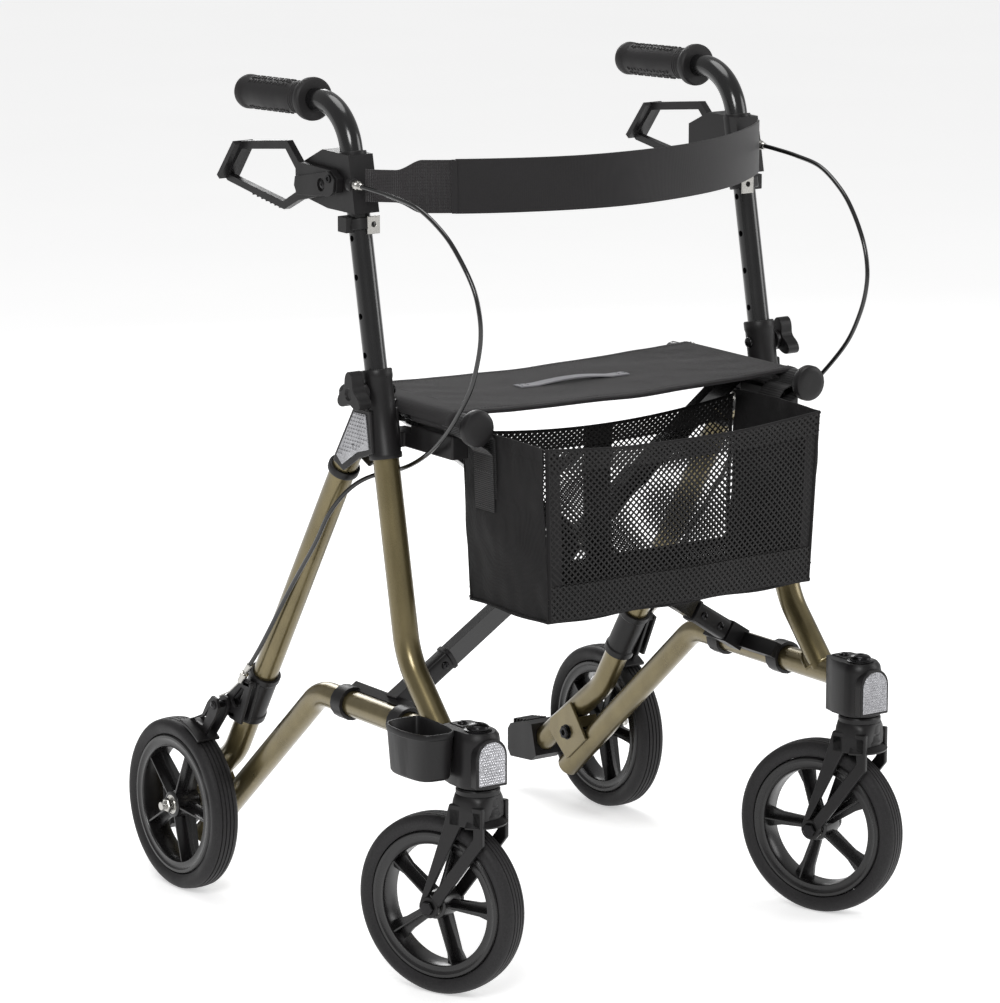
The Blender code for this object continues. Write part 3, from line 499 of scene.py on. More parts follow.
def build_socket(side, sign):
    """Sleeve with rolled lips, two riveted cheeks and a hexagonal reflector."""
    body = side + "_frame"
    base = handle_at_height(0.5626)
    length = (handle_at_height(0.658) - base).length
    profile = [(0.0149, 0.0), (0.0176, 0.0), (0.0182, 0.0015), (0.0182, 0.0055), (0.0168, 0.008),
               (0.0165, length - 0.012), (0.0174, length - 0.009), (0.0174, length - 0.0015),
               (0.0166, length), (0.013, length), (0.013, length - 0.005), (0.0149, length - 0.006)]
    sleeve = turned(profile, base, HANDLE_AXIS, 48, ring=True)
    stand_in("socket_" + side, sleeve, PLASTIC, body, 0.0005, sign, 2)
    outline = [(-0.129, 0.6165), (-0.096, 0.616), (-0.056, 0.555), (-0.056, 0.55), (-0.074, 0.542),
               (-0.106, 0.561), (-0.134, 0.57)]
    inner = FRAME_TUBE_R + 0.0003
    cheeks = join(slab(outline, SIDE_X + inner, SIDE_X + inner + 0.0044),
                  slab(outline, SIDE_X - inner - 0.0042, SIDE_X - inner))
    piece("socket_cheeks_" + side, cheeks, PLASTIC, body, 0.0016, sign)
    face = SIDE_X + inner + 0.0044
    hexagon = [(-0.1215, 0.612), (-0.0985, 0.611), (-0.0635, 0.558), (-0.0745, 0.549), (-0.105, 0.5675),
               (-0.1275, 0.574)]
    piece("side_reflector_" + side, slab(hexagon, face - 0.001, face + 0.0012), REFLECTOR, body, 0.0006,
          sign, 2)
    facets = bmesh.new()
    for row in range(14):
        for column in range(14):
            y = -0.126 + 0.0048 * column + 0.0024 * (row % 2)
            z = 0.552 + 0.0044 * row
            if inside(hexagon, y, z, 0.0018):
                turned([(0.0023, 0.0), (0.0005, 0.0012)], (face + 0.0011, y, z), (1, 0, 0), 6, bm=facets)
    piece("side_prisms_" + side, facets, REFLECTOR, body, sign=sign)
    rivets = join(dome_bolt((SIDE_X - inner - 0.0042, -0.07, 0.562), (-1, 0, 0), 0.006, 0.003),
                  dome_bolt(handle_at_height(0.635) - Vector((0.0168, 0, 0)), (-1, 0, 0), 0.0062, 0.0036),
                  dome_bolt((face, -0.098, 0.574), (1, 0, 0), 0.003, 0.0016))
    piece("socket_rivets_" + side, rivets, DARK_STEEL, body, sign=sign)


def inside(outline, y, z, margin):
    """True when a point is inside a convex outline by at least the margin."""
    centre = Vector((sum(p[0] for p in outline) / len(outline), sum(p[1] for p in outline) / len(outline)))
    for (ay, az), (by, bz) in zip(outline, outline[1:] + outline[:1]):
        edge = Vector((by - ay, bz - az)).normalized()
        normal = Vector((-edge.y, edge.x))
        if normal.dot(centre - Vector((ay, az))) < 0:
            normal = -normal
        if normal.dot(Vector((y - ay, z - az))) < margin:
            return False
    return True


def build_wing_knob(side, sign):
    pivot = handle_at_height(0.635) + Vector((0.0171, 0.0, 0.0))
    hub = turned([(0.0104, 0.0), (0.0104, 0.004), (0.0092, 0.006), (0.0092, 0.0105), (0.008, 0.0125)],
                 pivot, (1, 0, 0), 36)
    outline = []
    for i in range(72):
        angle = 2 * math.pi * i / 72 + math.pi / 2
        lobe = 0.5 + 0.5 * math.cos(3 * (angle - math.pi / 2))
        radius = 0.0112 + 0.0136 * lobe ** 1.5
        outline.append((pivot.y + radius * math.cos(angle), pivot.z + radius * math.sin(angle)))
    wing = slab(outline, pivot.x + 0.0062, pivot.x + 0.0218)
    dimple = turned([(0.0062, 0.02), (0.007, 0.03)], pivot, (1, 0, 0), 36)
    wing = combine(wing, dimple)
    stand_in("wing_knob_" + side, hub, PLASTIC, "knob_" + side, 0.0008, sign)
    piece("knob_wing_" + side, wing, PLASTIC, "knob_" + side, 0.0032, sign, 4)


def build_cradle(side, sign):
    stand_in("seat_cradle_" + side, cad_copy("seat_cradle_" + side), PLASTIC, side + "_frame", 0.0022)
    bolt = dome_bolt((0.2135, -0.13, 0.58), (-1, 0, 0), 0.0058, 0.003)
    piece("cradle_rivet_" + side, bolt, STEEL, side + "_frame", sign=sign)


# ---- casters and wheels -----------------------------------------------------------
def caster_matrix(sign):
    return (Matrix.Translation((sign * CASTER.x, CASTER.y, 0.0)) @ Matrix.Rotation(CASTER_TURN, 4, "Z"))


def mirrored(profile):
    return [(radius, -x) for radius, x in reversed(profile)]


def tyre_shape():
    """Solid tyre with rounded shoulders and four grooves round its tread."""
    profile = [(0.0822, -0.0132), (0.085, -0.015), (0.089, -0.0165), (0.0925, -0.0167), (0.0955, -0.0155),
               (0.0978, -0.0132)]
    edge = 0.0112
    profile.append((0.099, -edge))
    for groove in (-0.0075, -0.0025, 0.0025, 0.0075):
        for offset, depth in ((-0.0008, 0.0), (-0.0005, 0.0012), (0.0005, 0.0012), (0.0008, 0.0)):
            x = groove + offset
            profile.append((WHEEL_R - 0.001 * (abs(x) / edge) ** 2 - depth, x))
    profile.append((0.099, edge))
    return turned(profile + mirrored(profile[:6]), axis=(1, 0, 0), sides=120, ring=True)


def tapered_bar(*sections):
    """A rectangular bar through sections of half width, half depth and height."""
    corners = ((-1, -1), (1, -1), (1, 1), (-1, 1))
    return loft([[Vector((x * wide, y * deep, z)) for x, y in corners] for wide, deep, z in sections])


def rim_shape(spoke_turn):
    """Ring with lips, five deep spokes of T section and a stepped hub."""
    half = [(0.0816, -0.0128), (0.08, -0.0148), (0.077, -0.015), (0.0745, -0.0136), (0.0705, -0.0134),
            (0.068, -0.0142), (0.0668, -0.012)]
    ring = turned(half + [(0.0672, 0.0)] + mirrored(half), axis=(1, 0, 0), sides=96, ring=True)
    hub = turned([(0.012, -0.0163), (0.015, -0.015), (0.0158, -0.011), (0.0158, 0.011), (0.015, 0.015),
                  (0.012, 0.0163), (0.0112, 0.0163), (0.0112, 0.014), (0.0056, 0.014), (0.0056, -0.014),
                  (0.0112, -0.014), (0.0112, -0.0163)], axis=(1, 0, 0), sides=60, ring=True)
    shape = join(ring, hub)
    for i in range(5):
        turn = Matrix.Rotation(2 * math.pi * i / 5 + spoke_turn, 4, "X")
        fin = tapered_bar((0.0142, 0.0013, -0.014), (0.0126, 0.001, -0.068))
        flange = tapered_bar((0.0025, 0.006, -0.013), (0.0025, 0.0078, -0.05), (0.0025, 0.012, -0.0678))
        shape = join(shape, moved(join(fin, flange), turn))
    return shape


def bearing_shape():
    """Ball bearing seen in the hub: two races with a dished shield between them."""
    shape = bmesh.new()
    for direction in (-1, 1):
        turned([(0.011, 0.0138), (0.011, 0.0158), (0.0096, 0.016), (0.0092, 0.0152), (0.0078, 0.0152),
                (0.0074, 0.016), (0.0058, 0.0158), (0.0058, 0.0138)], axis=(direction, 0, 0), sides=48,
               ring=True, bm=shape)
    return shape


def build_wheel(name, side, matrix, body, spoke_turn):
    stand_in(name + "_tyre_" + side, moved(tyre_shape(), matrix), TYRE, body)
    stand_in(name + "_rim_" + side, moved(rim_shape(spoke_turn), matrix), WHEEL_PLASTIC, body, 0.0005,
             segments=2)
    piece(name + "_bearings_" + side, moved(bearing_shape(), matrix), STEEL, body)


def fork_leg(low_x, high_x):
    """A fork leg: two arms that meet at the axle boss, with a long V-shaped slot between them."""
    hub = Vector((CASTER_TRAIL, WHEEL_R))
    front = [(-0.0225, 0.22), (-0.0225, 0.178), (hub.x - 0.012, hub.y + 0.002),
             (hub.x - 0.003, hub.y + 0.012), (-0.011, 0.186), (-0.009, 0.22)]
    rear = [(0.005, 0.22), (0.006, 0.196), (hub.x + 0.001, hub.y + 0.012), (hub.x + 0.0115, hub.y + 0.004),
            (0.029, 0.19), (0.02, 0.22)]
    boss = []
    for i in range(28):
        angle = 2 * math.pi * i / 28
        boss.append((hub.x + 0.012 * math.cos(angle), hub.y + 0.012 * math.sin(angle)))
    shape = slab(front, low_x, high_x)
    slab(rear, low_x, high_x, shape)
    slab(boss, low_x - 0.0003, high_x + 0.0003, shape)
    block((low_x, -0.0215, 0.196), (high_x, 0.0205, 0.216), shape)
    return shape


def oval(z, half_x, half_y, power, steps=56):
    """A squared oval round the steering axis."""
    points = []
    for i in range(steps):
        c, s = math.cos(2 * math.pi * i / steps), math.sin(2 * math.pi * i / steps)
        points.append(Vector((half_x * math.copysign(abs(c) ** (2 / power), c),
                              half_y * math.copysign(abs(s) ** (2 / power), s), z)))
    return points


def build_caster(side, sign):
    body = "caster_" + side
    matrix = caster_matrix(sign)
    crown = turned([(0.0215, 0.2034), (0.0246, 0.204), (0.0252, 0.207), (0.024, 0.21), (0.0236, 0.2145),
                    (0.0228, 0.2155), (0.0228, 0.217), (0.0237, 0.218), (0.0238, 0.226), (0.023, 0.2272),
                    (0.023, 0.229), (0.0239, 0.23), (0.024, 0.2345), (0.0228, 0.2364)], sides=60)
    piece("fork_crown_" + side, moved(crown, matrix), PLASTIC, body, nodes=["caster_fork_" + side])
    legs = join(fork_leg(FORK_INNER, FORK_OUTER), fork_leg(-FORK_OUTER, -FORK_INNER))
    piece("fork_legs_" + side, moved(legs, matrix), PLASTIC, body, 0.0016)
    shoulder = loft([oval(z, half_x, half_y, power) for z, half_x, half_y,
                     power in ((0.2034, 0.0245, 0.0205, 4.0), (0.204, 0.0262, 0.0222, 4.0),
                               (0.215, 0.0262, 0.0226, 4.0), (0.2235, 0.0255, 0.0232, 3.0),
                               (0.229, 0.0243, 0.0238, 2.2), (0.23, 0.0236, 0.0232, 2.0))])
    piece("fork_shoulder_" + side, moved(shoulder, matrix), PLASTIC, body)
    lip = []
    for i in range(33):
        angle = math.radians(188 + 164 * i / 32)
        row = []
        for reach, z in ((0.84, 0.208), (0.92, 0.205), (1.06, 0.203), (1.24, 0.2), (1.38, 0.1985)):
            row.append(Vector((0.0262 * (0.35 + 0.65 * reach) * math.cos(angle),
                               0.0232 * reach * math.sin(angle), z)))
        lip.append(row)
    piece("fork_lip_" + side, moved(sheet_mesh(lip, 0.0022), matrix), PLASTIC, body)
    hub = matrix @ Matrix.Translation((0.0, CASTER_TRAIL, WHEEL_R))
    axle = turned([(0.0048, -0.0262), (0.0048, 0.0262)], axis=(1, 0, 0), sides=28)
    heads = join(dome_bolt((0.0267, 0, 0), (1, 0, 0), 0.0084, 0.004),
                 hexagon_bolt((-0.0267, 0, 0), (-1, 0, 0), 0.0082, 0.004, socket=False))
    stand_in("front_axle_" + side, moved(join(axle, heads), hub), DARK_STEEL, body, 0.0003, segments=2)
    build_wheel("front", side, hub, "front_wheel_" + side, math.radians(18) * sign)


def head_section(z, grow):
    """Rounded front and squared back of the steering head at one height."""
    points = []
    radius = 0.0243 + grow
    for i in range(25):
        angle = math.pi * i / 24
        points.append(Vector((SIDE_X + radius * math.cos(angle), CASTER.y - radius * math.sin(angle), z)))
    for x, y in ((-0.0215, -0.283), (-0.0175, -0.266), (-0.014, HEAD_REAR), (0.014, HEAD_REAR),
                 (0.0175, -0.266), (0.0215, -0.283)):
        points.append(Vector((SIDE_X + x, y, z)))
    return points


def arch(width, low, high, steps=12):
    """(x, z) outline of a plate with a straight foot and an arched top."""
    radius = width / 2
    points = [(-radius, low), (radius, low)]
    for i in range(steps + 1):
        angle = math.pi * i / steps
        points.append((radius * math.cos(angle), high - radius + radius * math.sin(angle)))
    return points


def build_head(side, sign):
    body = side + "_frame"
    sections = [(0.2372, -0.0022), (0.2385, 0.0), (0.244, 0.0006), (0.252, -0.0002), (0.288, -0.0006),
                (0.294, -0.0018), (HEAD_TOP, -0.0048)]
    head = loft([head_section(z, grow) for z, grow in sections])
    stand_in("caster_head_" + side, head, PLASTIC, body, 0.001, sign)
    to_axis = Matrix.Translation((SIDE_X, CASTER.y, 0.0))

    def plate(width, low, high, near, far):
        outline = arch(width, low, high)
        return moved(loft([[Vector((x, -y, z)) for x, z in outline] for y in (near, far)]), to_axis)

    piece("reflector_frame_" + side, plate(0.04, 0.2405, 0.2935, 0.015, 0.0262), PLASTIC, body, 0.0012,
          sign)
    piece("head_reflector_" + side, plate(0.034, 0.2435, 0.2905, 0.02, 0.0272), REFLECTOR, body, 0.0008,
          sign)
    prisms = bmesh.new()
    outline = arch(0.034, 0.2435, 0.2905)
    for row in range(15):
        for column in range(11):
            x = -0.015 + 0.003 * column + 0.0015 * (row % 2)
            z = 0.2455 + 0.003 * row
            if inside(outline, x, z, 0.0015):
                turned([(0.0016, 0.0), (0.0003, 0.0011)], (SIDE_X + x, CASTER.y - 0.0271, z), (0, -1, 0), 4,
                       bm=prisms)
    piece("head_prisms_" + side, prisms, REFLECTOR, body, sign=sign)
    washer = turned([(0.015, -0.0004), (0.015, 0.0012), (0.0138, 0.0018)], (SIDE_X, CASTER.y, HEAD_TOP),
                    (0, 0, 1), 40)
    bolt = dome_bolt((SIDE_X, CASTER.y, HEAD_TOP + 0.0016), (0, 0, 1), 0.0122, 0.0068)
    small = dome_bolt((SIDE_X, -0.276, HEAD_TOP + 0.001), (0, 0, 1), 0.0056, 0.0034)
    stand_in("caster_bolt_" + side, join(washer, bolt, small), DARK_STEEL, body, sign=sign,
             slot="black_metal")
    tab = block((SIDE_X - 0.009, -0.289, HEAD_TOP - 0.004),
                (SIDE_X + 0.009, HEAD_REAR - 0.002, HEAD_TOP + 0.0014))
    piece("head_tab_" + side, tab, PLASTIC, body, 0.0016, sign)


# ---- handles and brakes --------------------------------------------------------------
def build_handle(side, sign):
    body = "handle_" + side
    end = HANDLE_CORNER + GRIP_AXIS * (GRIP_START_Y - HANDLE_CORNER.y + 0.125)
    tube = sweep(rounded_path([HANDLE_LOW, HANDLE_CORNER, end], [0.06], 24), HANDLE_TUBE_R)
    holes = bmesh.new()
    for i in range(4):
        turned([(0.0035, -0.02), (0.0035, 0.02)], handle_at_height(0.6736 + 0.0414 * i), (1, 0, 0), 24,
               bm=holes)
    stand_in("handle_tube_" + side, combine(tube, holes), BLACK_TUBE, body, sign=sign)
    build_grip(side, sign)
    build_housing(side, sign)
    ring_low = handle_at_height(0.806)
    ring = turned([(0.0129, 0.0), (0.0158, 0.0), (0.0166, 0.001), (0.0166, 0.012), (0.0158, 0.013),
                   (0.0129, 0.013)], ring_low, HANDLE_AXIS, 40, ring=True)
    ear = block((SIDE_X + 0.006, ring_low.y - 0.005, 0.8045), (SIDE_X + 0.0215, ring_low.y + 0.012, 0.8215))
    piece("memory_ring_" + side, join(ring, ear), PLASTIC, body, 0.0008, sign, 2)
    plate = block((SIDE_X - 0.015, ring_low.y - 0.016, 0.803),
                  (SIDE_X + 0.001, ring_low.y - 0.0136, 0.8225))
    eye = turned([(0.003, -0.01), (0.003, 0.01)], (SIDE_X - 0.007, ring_low.y - 0.015, 0.8135), (0, 1, 0),
                 28)
    piece("ring_plate_" + side, combine(plate, eye), STEEL, body, 0.0006, sign, 2)


def build_grip(side, sign):
    """Ribbed rubber grip with a flared collar, a swollen palm rest and a capped end."""
    start = HANDLE_CORNER + GRIP_AXIS * (GRIP_START_Y - HANDLE_CORNER.y)
    profile = [(0.013, 0.0005), (0.015, 0.0002), (0.0215, 0.0004), (0.0236, 0.002), (0.024, 0.005),
               (0.0236, 0.009), (0.022, 0.0115), (0.0192, 0.014), (0.0176, 0.017), (0.0172, 0.02)]
    for i in range(3):
        base = 0.0215 + 0.0036 * i
        profile += [(0.018, base), (0.018, base + 0.0016), (0.017, base + 0.0022), (0.017, base + 0.003)]
    steps = 14
    for i in range(steps + 1):
        s = i / steps
        profile.append((0.0172 + 0.0008 * math.sin(math.pi * s), 0.034 + 0.09 * s))
    profile += [(0.0174, 0.125), (0.019, 0.1275), (0.0192, 0.134), (0.018, 0.1375), (0.013, 0.139),
                (0.002, 0.1392)]
    shape = turned(profile, start, GRIP_AXIS, 64)
    ridges = bmesh.new()
    for i in range(13):
        for angle in (50, 72, 94, 116, 214, 236, 258, 280, 302):
            radians = math.radians(angle + 4 * (i % 2))
            normal = Vector((math.cos(radians), 0.0, math.sin(radians)))
            normal = (normal - GRIP_AXIS * normal.dot(GRIP_AXIS)).normalized()
            centre = start + GRIP_AXIS * (0.042 + 0.0062 * i) + normal * 0.017
            turned([(0.0024, 0.0), (0.002, 0.0015), (0.001, 0.0019)], centre, normal, 10, bm=ridges)
    stand_in("grip_" + side, shape, GRIP_RUBBER, "handle_" + side, sign=sign)
    piece("grip_texture_" + side, ridges, GRIP_RUBBER, "handle_" + side, sign=sign)


def build_housing(side, sign):
    """Lever housing: a clamp round the tube, a raised cover, bolts and the cable's gland."""
    body = "handle_" + side
    collar = turned([(0.013, 0.0), (0.016, 0.0), (0.016, 0.064), (0.013, 0.064)], handle_at_height(0.8262),
                    HANDLE_AXIS, 48, ring=True)
    piece("housing_collar_" + side, collar, PLASTIC, body, 0.0008, sign, 2)
    stand_in("lever_housing_" + side, cad_copy("lever_housing_" + side), PLASTIC, body, 0.003, segments=4)
    gland_point = Vector((0.273, -0.096, 0.8565))
    gland = turned([(0.0052, -0.008), (0.0052, 0.002), (0.004, 0.0032), (0.004, 0.008), (0.0031, 0.0095)],
                   gland_point, (0, -1, -0.08), 32)
    piece("cable_gland_" + side, gland, STEEL, body, 0.0003, sign, 2)
    boss = turned([(0.008, 0.0), (0.008, 0.006), (0.0068, 0.0075)], gland_point + Vector((0, 0.012, 0)),
                  (0, -1, -0.08), 36)
    piece("gland_boss_" + side, boss, PLASTIC, body, 0.0006, sign, 2)


def build_lever(side, sign):
    body = "lever_" + side
    lever = cad_copy("brake_lever_" + side)
    stand_in("brake_lever_" + side, lever, PLASTIC, body, 0.0017)
    cover = slab([(-0.072, 0.848), (-0.074, 0.861), (-0.062, 0.869), (0.004, 0.856), (0.006, 0.846),
                  (0.0, 0.836), (-0.064, 0.842)], 0.2852, 0.2884)
    cover = combine(cover,
                    turned([(0.0072, -0.003), (0.0072, 0.01)], (0.2852, -0.048, 0.853), (1, 0, 0), 40))
    piece("lever_cover_" + side, cover, PLASTIC, body, 0.0012, sign)
    pivot = join(dome_bolt((0.2858, -0.048, 0.853), (1, 0, 0), 0.0052, 0.0022),
                 turned([(0.0046, 0.0), (0.0046, 0.0012), (0.0024, 0.0012), (0.0024, 0.0)],
                        (0.2884, -0.063, 0.861), (1, 0, 0), 28, ring=True))
    piece("lever_pivot_" + side, pivot, DARK_STEEL, body, sign=sign, slot="black_metal")
    ribs = bmesh.new()
    for i in range(7):
        y = 0.04 + 0.009 * i
        z = 0.819 + (0.836 - 0.819) * (y - 0.03) / 0.117
        block((0.2787, y, z - 0.0042), (0.2853, y + 0.0016, z), ribs)
    piece("lever_ribs_" + side, ribs, PLASTIC, body, sign=sign)


CABLE_ROUTE = [(0.273, -0.094, 0.8565), (0.2728, -0.125, 0.855), (0.2715, -0.165, 0.852),
               (0.27, -0.21, 0.845), (0.267, -0.25, 0.825), (0.2645, -0.276, 0.802),
               (0.2615, -0.298, 0.772), (0.26, -0.307, 0.745), (0.2585, -0.307, 0.72),
               (0.257, -0.299, 0.693), (0.2545, -0.283, 0.662), (0.2515, -0.257, 0.632),
               (0.248, -0.225, 0.602), (0.245, -0.19, 0.577), (0.2425, -0.156, 0.559),
               (0.241, -0.125, 0.547), (0.245, -0.102, 0.54), (0.254, -0.085, 0.533),
               (0.264, -0.072, 0.523), (0.273, -0.058, 0.507), (0.2785, -0.04, 0.483),
               (0.279, -0.015, 0.448), (0.28, 0.0355, 0.387), (0.284, 0.0897, 0.3132),
               (0.2885, 0.115, 0.279)]


def spline(a, b, c, d, t):
    """Catmull-Rom curve from b (t = 0) to c (t = 1)."""
    square, cube = 2 * a - 5 * b + 4 * c - d, 3 * b - a - 3 * c + d
    return 0.5 * (2 * b + (c - a) * t + square * t * t + cube * t ** 3)


def smooth_route(points, steps=8):
    """Points on a smooth curve through a route."""
    points = [Vector(point) for point in points]
    padded = [2 * points[0] - points[1]] + points + [2 * points[-1] - points[-2]]
    result = []
    for a, b, c, d in zip(padded, padded[1:], padded[2:], padded[3:]):
        result += [spline(a, b, c, d, i / steps) for i in range(steps)]
    result.append(points[-1])
    return result


def build_cable(side, sign):
    """The brake cable, swept along a fixed route and baked in place; its adjuster, inner wire and clip ride
    on the side frame.
    """
    cable = piece("brake_cable_" + side, sweep(smooth_route(CABLE_ROUTE), 0.0025, 16), SHEATH, None,
                  sign=sign)
    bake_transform(cable)
    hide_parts("brake_cable_" + side)
    end = Vector(CABLE_ROUTE[-1])
    along = Vector((0.0008, 0.009, -0.011)).normalized()
    adjuster = turned([(0.0028, -0.012), (0.0035, -0.0112), (0.0035, -0.001), (0.003, 0.0), (0.003, 0.0035),
                       (0.0048, 0.004), (0.0048, 0.009), (0.0036, 0.0095), (0.0036, 0.018)], end, along, 36)
    piece("cable_adjuster_" + side, adjuster, STEEL, side + "_frame", sign=sign)
    wire = sweep([end + along * 0.017, Vector((0.295, 0.142, 0.25)), Vector((0.3, 0.156, 0.2425))], 0.0008,
                 10)
    piece("inner_wire_" + side, wire, STEEL, side + "_frame", sign=sign)
    clip_at = Vector((SIDE_X, -0.048, 0.539))
    along_leg = (REAR_LEG[1] - REAR_LEG[0]).normalized()
    clip = turned([(0.0146, -0.0045), (0.0172, -0.0045), (0.0178, -0.003), (0.0178, 0.003),
                   (0.0172, 0.0045), (0.0146, 0.0045)], clip_at, along_leg, 48, ring=True)
    piece("cable_clip_" + side, clip, PLASTIC, side + "_frame", 0.0004, sign, 2)


def tyre_point(radius, degrees):
    """A (y, z) point round the rear wheel."""
    angle = math.radians(degrees)
    return (REAR_WHEEL.y + radius * math.cos(angle), REAR_WHEEL.z + radius * math.sin(angle))


def build_brake(side, sign):
    """Clamp on the rear leg with a windowed arm, and the shoe that presses on the tyre."""
    along = (REAR_LEG[1] - REAR_LEG[0]).normalized()
    sleeve_low = REAR_LEG[0] + along * 0.358
    clamp = turned([(0.0146, 0.0), (0.0182, 0.0), (0.0182, 0.007), (0.0168, 0.009), (0.0168, 0.056),
                    (0.0182, 0.058), (0.0182, 0.066), (0.0146, 0.066)], sleeve_low, along, 56, ring=True)
    stand_in("brake_body_" + side, clamp, PLASTIC, side + "_frame", 0.0005, sign, 2)
    outer = [(0.109, 0.263), (0.124, 0.269), (0.147, 0.252), (0.17, 0.236), (0.17, 0.226), (0.156, 0.215),
             (0.133, 0.212)]
    window = [(0.124, 0.256), (0.131, 0.256), (0.152, 0.237), (0.144, 0.229), (0.133, 0.232)]
    for name, low, high in (("inner", 0.273, 0.2768), ("outer", 0.2826, 0.2864)):
        web = combine(slab(outer, low, high), slab(window, low - 0.01, high + 0.01))
        piece("brake_%s_web_%s" % (name, side), web, PLASTIC, side + "_frame", 0.0009, sign)
    bridge = join(block((0.27, 0.112, 0.259), (0.2864, 0.127, 0.265)),
                  block((0.262, 0.145, 0.217), (0.2864, 0.164, 0.223)))
    piece("brake_bridge_" + side, bridge, PLASTIC, side + "_frame", 0.0012, sign)
    face = [tyre_point(0.103, degrees) for degrees in range(100, 125, 2)]
    crest = [tyre_point(0.1068, degrees) for degrees in range(124, 99, -2)]
    shoe = slab(face + crest, 0.2878, 0.317)
    stand_in("brake_arm_" + side, shoe, PLASTIC, "shoe_" + side, 0.001, sign)
    rib = [tyre_point(0.1062, 101), (0.186, 0.216), (0.174, 0.233), (0.164, 0.242), (0.154, 0.24),
           (0.151, 0.23), (0.156, 0.22), tyre_point(0.1062, 120)]
    hole = [tyre_point(0.109, 104), (0.18, 0.216), (0.17, 0.227), tyre_point(0.113, 115)]
    for name, low, high in (("inner", 0.2876, 0.2912), ("outer", 0.301, 0.3046)):
        web = combine(slab(rib, low, high), slab(hole, low - 0.01, high + 0.01))
        piece("shoe_%s_web_%s" % (name, side), web, PLASTIC, "shoe_" + side, 0.0009, sign)
    hinge = dome_bolt((0.3046, 0.16, 0.232), (1, 0, 0), 0.0052, 0.0026)
    pin = turned([(0.004, 0.2735), (0.004, 0.3045)], (0.0, 0.16, 0.232), (1, 0, 0), 28)
    piece("shoe_hinge_" + side, join(hinge, pin), DARK_STEEL, "shoe_" + side, sign=sign)
    lining = [Vector((0.3023, *tyre_point(0.103, degrees))) for degrees in range(101, 122, 2)]
    piece("shoe_lining_" + side, sweep(lining, 0.0012, 10), DARK_STEEL, "shoe_" + side, sign=sign)


def build_cup():
    """Cane cup with soft corners, a rolled rim and an arm to the lower tube."""
    centre = Vector((-0.305, -0.26))
    corners = [(-0.2795, -0.226), (-0.2795, -0.274), (-0.2872, -0.2975), (-0.305, -0.3015),
               (-0.324, -0.2935), (-0.332, -0.262), (-0.328, -0.231), (-0.315, -0.2195), (-0.2905, -0.2185)]

    def ring(z, shrink):
        points = []
        count = len(corners)
        for i in range(count):
            nearby = [Vector(corners[(i + k) % count]) for k in (-1, 0, 1, 2)]
            for step in range(8):
                offset = spline(*nearby, step / 8) - centre
                offset *= 1.0 - shrink / offset.length
                points.append(Vector((max(min(centre.x + offset.x, -0.279), -0.3333), centre.y + offset.y,
                                      z)))
        return points

    sections = [(0.246, 0.009), (0.2464, 0.0065), (0.249, 0.0045), (0.292, 0.0008), (0.293, 0.0),
                (0.2975, 0.0), (0.299, 0.0008), (0.299, 0.0022), (0.2975, 0.0032), (0.252, 0.0075),
                (0.25, 0.0095)]
    shape = loft([ring(z, shrink) for z, shrink in sections])
    stand_in("stick_holder", shape, PLASTIC, "left_frame")
    clamp = turned([(0.0146, -0.009), (0.0176, -0.009), (0.0176, 0.009), (0.0146, 0.009)],
                   (-SIDE_X, -0.245, LOWER_TUBE_Z), (0, 1, 0), 48, ring=True)
    arm = block((-0.28, -0.253, 0.264), (-0.274, -0.237, 0.29))
    piece("holder_clamp", join(clamp, arm), PLASTIC, "left_frame", 0.0012)
    screw = dome_bolt((-0.25, -0.245, 0.29), (0, 0, 1), 0.004, 0.0024)
    piece("holder_screw", screw, STEEL, "left_frame")


# ---- scissor, seat and bars ------------------------------------------------------------
def build_scissor():
    for name, body in (("strut_a", "scissor_a"), ("strut_b", "scissor_b")):
        stand_in(name, cad_copy(name), BLACK_TUBE, body, 0.0032, segments=4)
        foot_sign, strut_y = (-1.0, STRUT_A_Y) if name == "strut_a" else (1.0, STRUT_B_Y)
        build_strut_collar(name, body, foot_sign, strut_y)
    stand_in("cross_pivot", cad_copy("cross_pivot"), STEEL, "scissor_a", 0.0008)
    for side, sign in SIDES:
        sleeve = "strut_sleeve_" + side
        foot_body = "scissor_a" if sign < 0 else "scissor_b"
        stand_in(sleeve, cad_copy(sleeve), PLASTIC, foot_body, 0.0022, segments=4)
        bar_body = "scissor_a" if sign > 0 else "scissor_b"
        bar = turned([(0.0098, -0.244), (SEAT_BAR_R, -0.243), (SEAT_BAR_R, 0.0012), (0.0092, 0.002)],
                     (SEAT_BAR_X, 0, SEAT_BAR_Z), (0, 1, 0), 40)
        stand_in("seat_bar_" + side, bar, BLACK_TUBE, bar_body, sign=sign)
        knob = turned([(0.002, -0.2566), (0.012, -0.2569), (0.0165, -0.2564), (0.019, -0.255),
                       (0.02, -0.2528), (0.02, -0.2472), (0.0192, -0.2455), (0.015, -0.244),
                       (0.0112, -0.243), (0.0112, -0.238), (0.0102, -0.2375)], (SEAT_BAR_X, 0, SEAT_BAR_Z),
                      (0, 1, 0), 56)
        piece("bar_knob_" + side, knob, PLASTIC, bar_body, sign=sign)
        plug = turned([(0.0092, 0.0022), (0.0088, 0.004), (0.005, 0.0048)], (SEAT_BAR_X, 0, SEAT_BAR_Z),
                      (0, 1, 0), 32)
        piece("bar_plug_" + side, plug, PLASTIC, bar_body, sign=sign)


